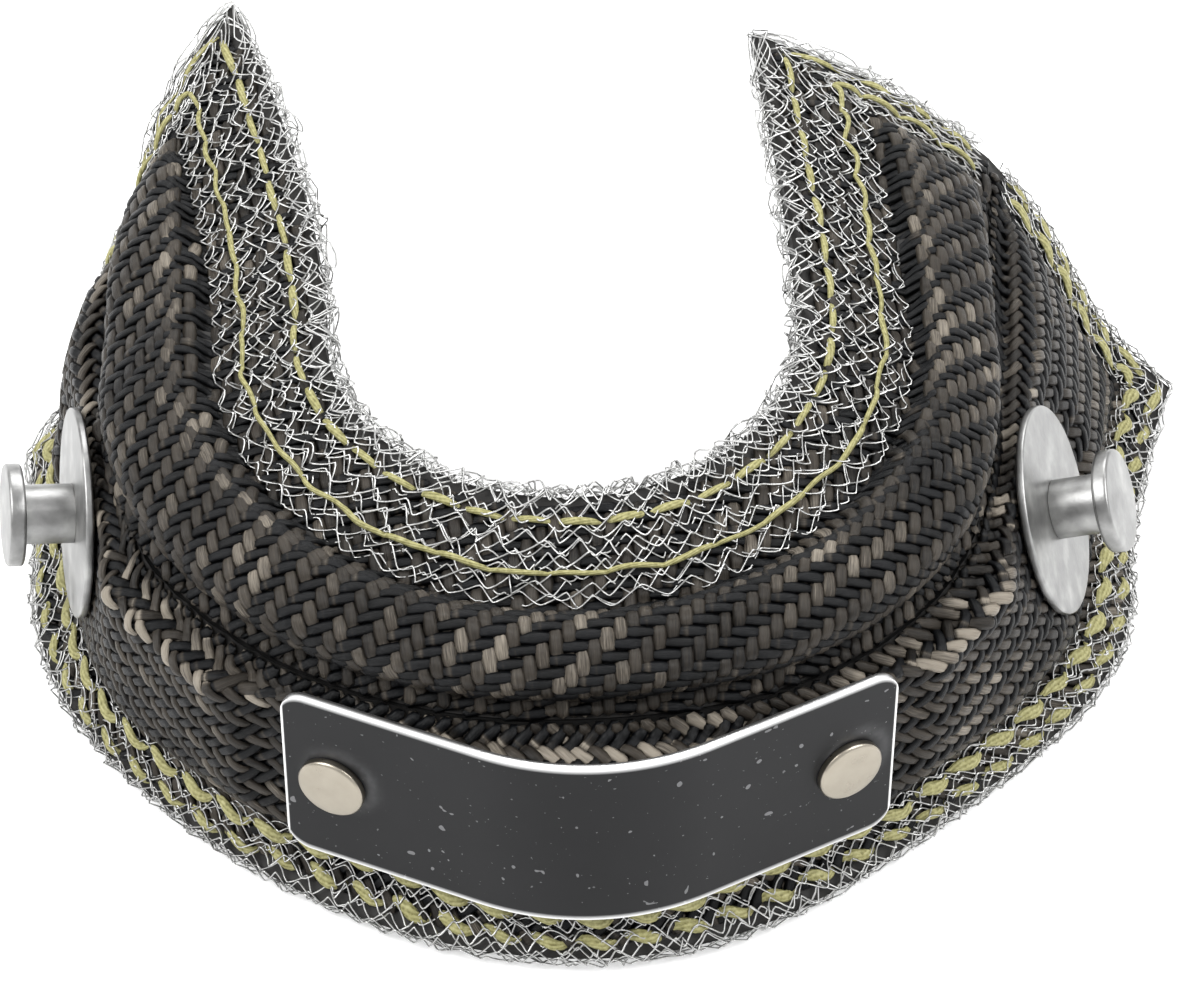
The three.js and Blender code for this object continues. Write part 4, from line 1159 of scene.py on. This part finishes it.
def plate():
    """The bent plate: a rounded oblong section, swept from end to end. Its half height follows
    the round corners, h(run) = H - r + sqrt(r^2 - (|run| - L + r)^2), and its rims are softened."""
    half_x, half_y, corner, soft = PLATE_LENGTH / 2, PLATE_HEIGHT / 2, PLATE_CORNER, 0.18
    ends = half_x - corner + corner * np.sin(np.linspace(0, np.pi / 2, 14))
    run = np.concatenate([-ends[::-1], np.linspace(-ends[0], ends[0], 100)[1:-1], ends])
    into = np.maximum(np.abs(run) - (half_x - corner), 0)
    high = half_y - corner + np.sqrt(np.maximum(corner ** 2 - into ** 2, 0))
    share = np.linspace(-1, 1, 29)
    rim = np.array([[1, 0.12, 0.1], [1, 0.5, 0], [1, 0.88, 0.1]])
    front = np.stack([share, 0 * share, np.where(np.abs(share) == 1, soft, 0)], -1)
    back = np.stack([share[::-1], 0 * share + 1, np.where(np.abs(share) == 1, soft, 0)], -1)
    section = np.concatenate([front, rim, back, rim[::-1] * [-1, 1, 1]])
    up = section[:, 0] * (high[:, None] - section[:, 2])
    depth = np.broadcast_to(section[:, 1] * PLATE_THICKNESS, up.shape)
    points = plate_point(np.broadcast_to(run[:, None], up.shape), up, depth)
    count = len(section)
    faces = grid_faces(len(run), count, wrap=True).tolist()
    faces += [list(range(count)), list(range((len(run) - 1) * count, len(run) * count))[::-1]]
    edge_gap = np.minimum(half_x - np.abs(run)[:, None], high[:, None] - np.abs(up))
    bare = np.where((section[:, 1] == 0) & (edge_gap > 0.25), 0.0, 1.0)
    rivet_crescent = np.zeros_like(up)
    # a lighter crescent beside each rivet head, off centre towards the plate's top and right end
    for sign in (-1, 1):
        away = np.hypot(run[:, None] - sign * (half_x - RIVET_FROM_END) - 0.9, up - 0.9)
        rivet_crescent += np.exp(-(((away - 4.0) / 0.9) ** 2))
    marks = dict(bare=bare[..., None], rivet_crescent=rivet_crescent[..., None])
    tidy(mesh_piece("front_plate", points, faces, MATERIALS["plate"], ["plate"], marks))


def inside_mesh(name, skin, low):
    """The knitted mesh that lines a panel's inner face."""
    u_list = np.linspace(-1, 1, 801)
    middle = skin.point(u_list, np.full(u_list.shape, 0.5), 0 * u_list)
    run = np.concatenate([[0], np.cumsum(np.linalg.norm(np.diff(middle, axis=0), axis=-1))])

    def locate(distance, reach, lift):
        u = np.interp(distance, run, u_list)
        return skin.point(u, np.clip(reach / skin.across, 0, 0.985), lift)

    knit(name, locate, run[-1], low, skin.across - 1.5, INSIDE_LAYERS)


# Layers of knitted wire: lift off the face, looseness, phase, wale, course and slant
NECK_LAYERS = [(0.22, 0.55, 0.0, 4.3, 1.5, 0.15), (0.6, 0.85, 0.45, 4.0, 1.55, -0.15)]
SKIRT_LAYERS = [(0.22, 0.5, 0.0, 3.7, 1.3, 0.15), (0.6, 0.75, 0.45, 3.5, 1.4, -0.15)]
LOOSE_LAYERS = [(1.1, 1.7, 0.2, 4.6, 2.0, 0.1)]
INSIDE_LAYERS = [(0.2, 0.5, 0.0, 3.9, 2.6, 0.2)]
LOOSE_REACH = 3.4

# Distances of the rows of thread off the folds
NECK_ROWS = (2.4, 8.6)
SKIRT_ROWS = (1.3, 4.8)

pad("roof_pad", roof_top, roof_under, ["roof_cover", "roof_batting", "roof_liner"])
pad("wall_pad", wall_top, wall_under, ["wall_cover", "wall_batting", "wall_liner"])
weave("roof_weave", roof_top, roof_places(roof_top), (140, 140), ROOF_PITCH, ROOF_BIAS, 1)
weave("wall_weave", wall_top, wall_places(wall_top), (230, 230), WALL_PITCH, WALL_BIAS, -1)

neck = Bound(roof, roof_top, roof_under, 1.4)
skirt = Bound(wall, wall_top, wall_under, 1.3)
neck_reach = NECK_HEM + Bound.FOLD / 2
skirt_reach = SKIRT_HEM + Bound.FOLD / 2
knit("neck_mesh", neck.point, neck.length, -neck_reach, neck_reach + 0.4, NECK_LAYERS, ["neck_binding"])
knit("neck_loose_wire", neck.point, neck.length, -LOOSE_REACH, LOOSE_REACH, LOOSE_LAYERS)
knit("skirt_mesh", skirt.point, skirt.length, -skirt_reach, skirt_reach, SKIRT_LAYERS, ["skirt_binding"])
inside_mesh("roof_inside_mesh", roof_under, 9)
inside_mesh("wall_inside_mesh", wall_under, 6)

stitch_row("neck_edge_stitches", "neck_stitch_edge_row", neck, NECK_ROWS[0], 51,
           face=1, width=0.95, flat=0.6, swell=0.4, lift=0.15)
stitch_row("neck_inner_stitches", "neck_stitch_inner_row", neck, NECK_ROWS[1], 52,
           face=1, width=0.68, flat=0.85, swell=0.15, lift=0.7, wander=0.25)
stitch_row("skirt_edge_stitches", "skirt_stitch_edge_row", skirt, SKIRT_ROWS[0], 53,
           face=1, pitch=5.6, width=1.5, flat=0.4, swell=0.7, lift=-0.05, wander=0.15, slant=0.8)
stitch_row("skirt_inner_stitches", "skirt_stitch_inner_row", skirt, SKIRT_ROWS[1], 54,
           face=1, pitch=5.8, width=1.8, flat=0.38, swell=0.7, lift=0.35, wander=0.15, slant=1.1)
stitch_row("neck_edge_bobbin", "neck_bobbin_edge_row", neck, NECK_ROWS[0], 55)
stitch_row("neck_inner_bobbin", "neck_bobbin_inner_row", neck, NECK_ROWS[1], 56)
stitch_row("skirt_edge_bobbin", "skirt_bobbin_edge_row", skirt, SKIRT_ROWS[0], 57, pitch=5.8)
stitch_row("skirt_inner_bobbin", "skirt_bobbin_inner_row", skirt, SKIRT_ROWS[1], 58, pitch=5.8)

for place, side in zip(CAPSTANS, ("left", "right")):
    capstan(place, side)
for sign, side in ((-1, "left"), (1, "right")):
    plate_rivet(sign, side)
plate()

crease_thread = frame["nodes"]["crease_thread"]
crease_thread.data.materials.clear()
crease_thread.data.materials.append(MATERIALS["thread"])


def surround():
    """Plain white to the camera and in reflections, and a soft grey light on everything else."""
    world = bpy.data.worlds.new("surround")
    bpy.context.scene.world = world
    nodes = Nodes("surround", world)
    nodes.tree.nodes.clear()
    rays = nodes.add("ShaderNodeLightPath")
    shown = nodes.out(rays, "Is Camera Ray")
    for ray in ("Is Glossy Ray", "Is Transmission Ray"):
        shown = shown.maths("MAXIMUM", nodes.out(rays, ray))
    soft = nodes.add("ShaderNodeBackground", Color=(0.42, 0.425, 0.435, 1), Strength=0.5)
    white = nodes.add("ShaderNodeBackground", Color=(1, 1, 1, 1))
    choose = nodes.add("ShaderNodeMixShader")
    for socket, value in zip(choose.inputs, (shown, nodes.out(soft), nodes.out(white))):
        nodes.put(socket, value)
    nodes.add("ShaderNodeOutputWorld", Surface=nodes.out(choose))


def floor():
    """A pale floor just under the part."""
    bpy.ops.mesh.primitive_plane_add(size=6, location=(0, 0, -0.0004))
    plane = bpy.context.object
    plane.name = "floor"
    paint = Nodes("floor_paint")
    paint.set(Base_Color=(0.9, 0.9, 0.9, 1), Roughness=0.9)
    paint.set(Emission_Color=(1, 1, 1, 1), Emission_Strength=0.45)
    plane.data.materials.append(paint.material)


def lamps():
    """Three soft lamps: name, place, size and power."""
    lights = [
        ("left", (-0.5, -0.12, 0.6), 0.5, 5.2),
        ("right", (0.5, -0.12, 0.6), 0.5, 4.6),
        ("back", (0.05, 0.5, 0.55), 0.4, 2.5),
    ]
    for name, spot, size, power in lights:
        data = bpy.data.lights.new(name, "AREA")
        data.size = size
        data.energy = power
        light = bpy.data.objects.new(name, data)
        light.location = spot
        direction = Vector((0, 0, 0.02)) - Vector(spot)
        light.rotation_euler = direction.to_track_quat("-Z", "Y").to_euler()
        bpy.context.scene.collection.objects.link(light)


surround()
floor()
lamps()

# The photograph's view: from in front and about 47 degrees above
scene = bpy.context.scene
VIEW_ELEVATION = math.radians(47)
VIEW_DISTANCE = 0.52
target = Vector((-0.0053, -0.0094, 0.0203))
camera_data = bpy.data.cameras.new("camera")
camera = bpy.data.objects.new("camera", camera_data)
scene.collection.objects.link(camera)
away = Vector((0, -math.cos(VIEW_ELEVATION), math.sin(VIEW_ELEVATION)))
camera.location = target + away * VIEW_DISTANCE
camera.rotation_euler = (-away).to_track_quat("-Z", "Y").to_euler()
camera_data.sensor_width = 36
camera_data.lens = 129.5
camera_data.shift_x = 37 / 1200
camera_data.shift_y = 48 / 1200
camera_data.clip_start = 0.01
scene.camera = camera
scene.view_settings.view_transform = "Standard"
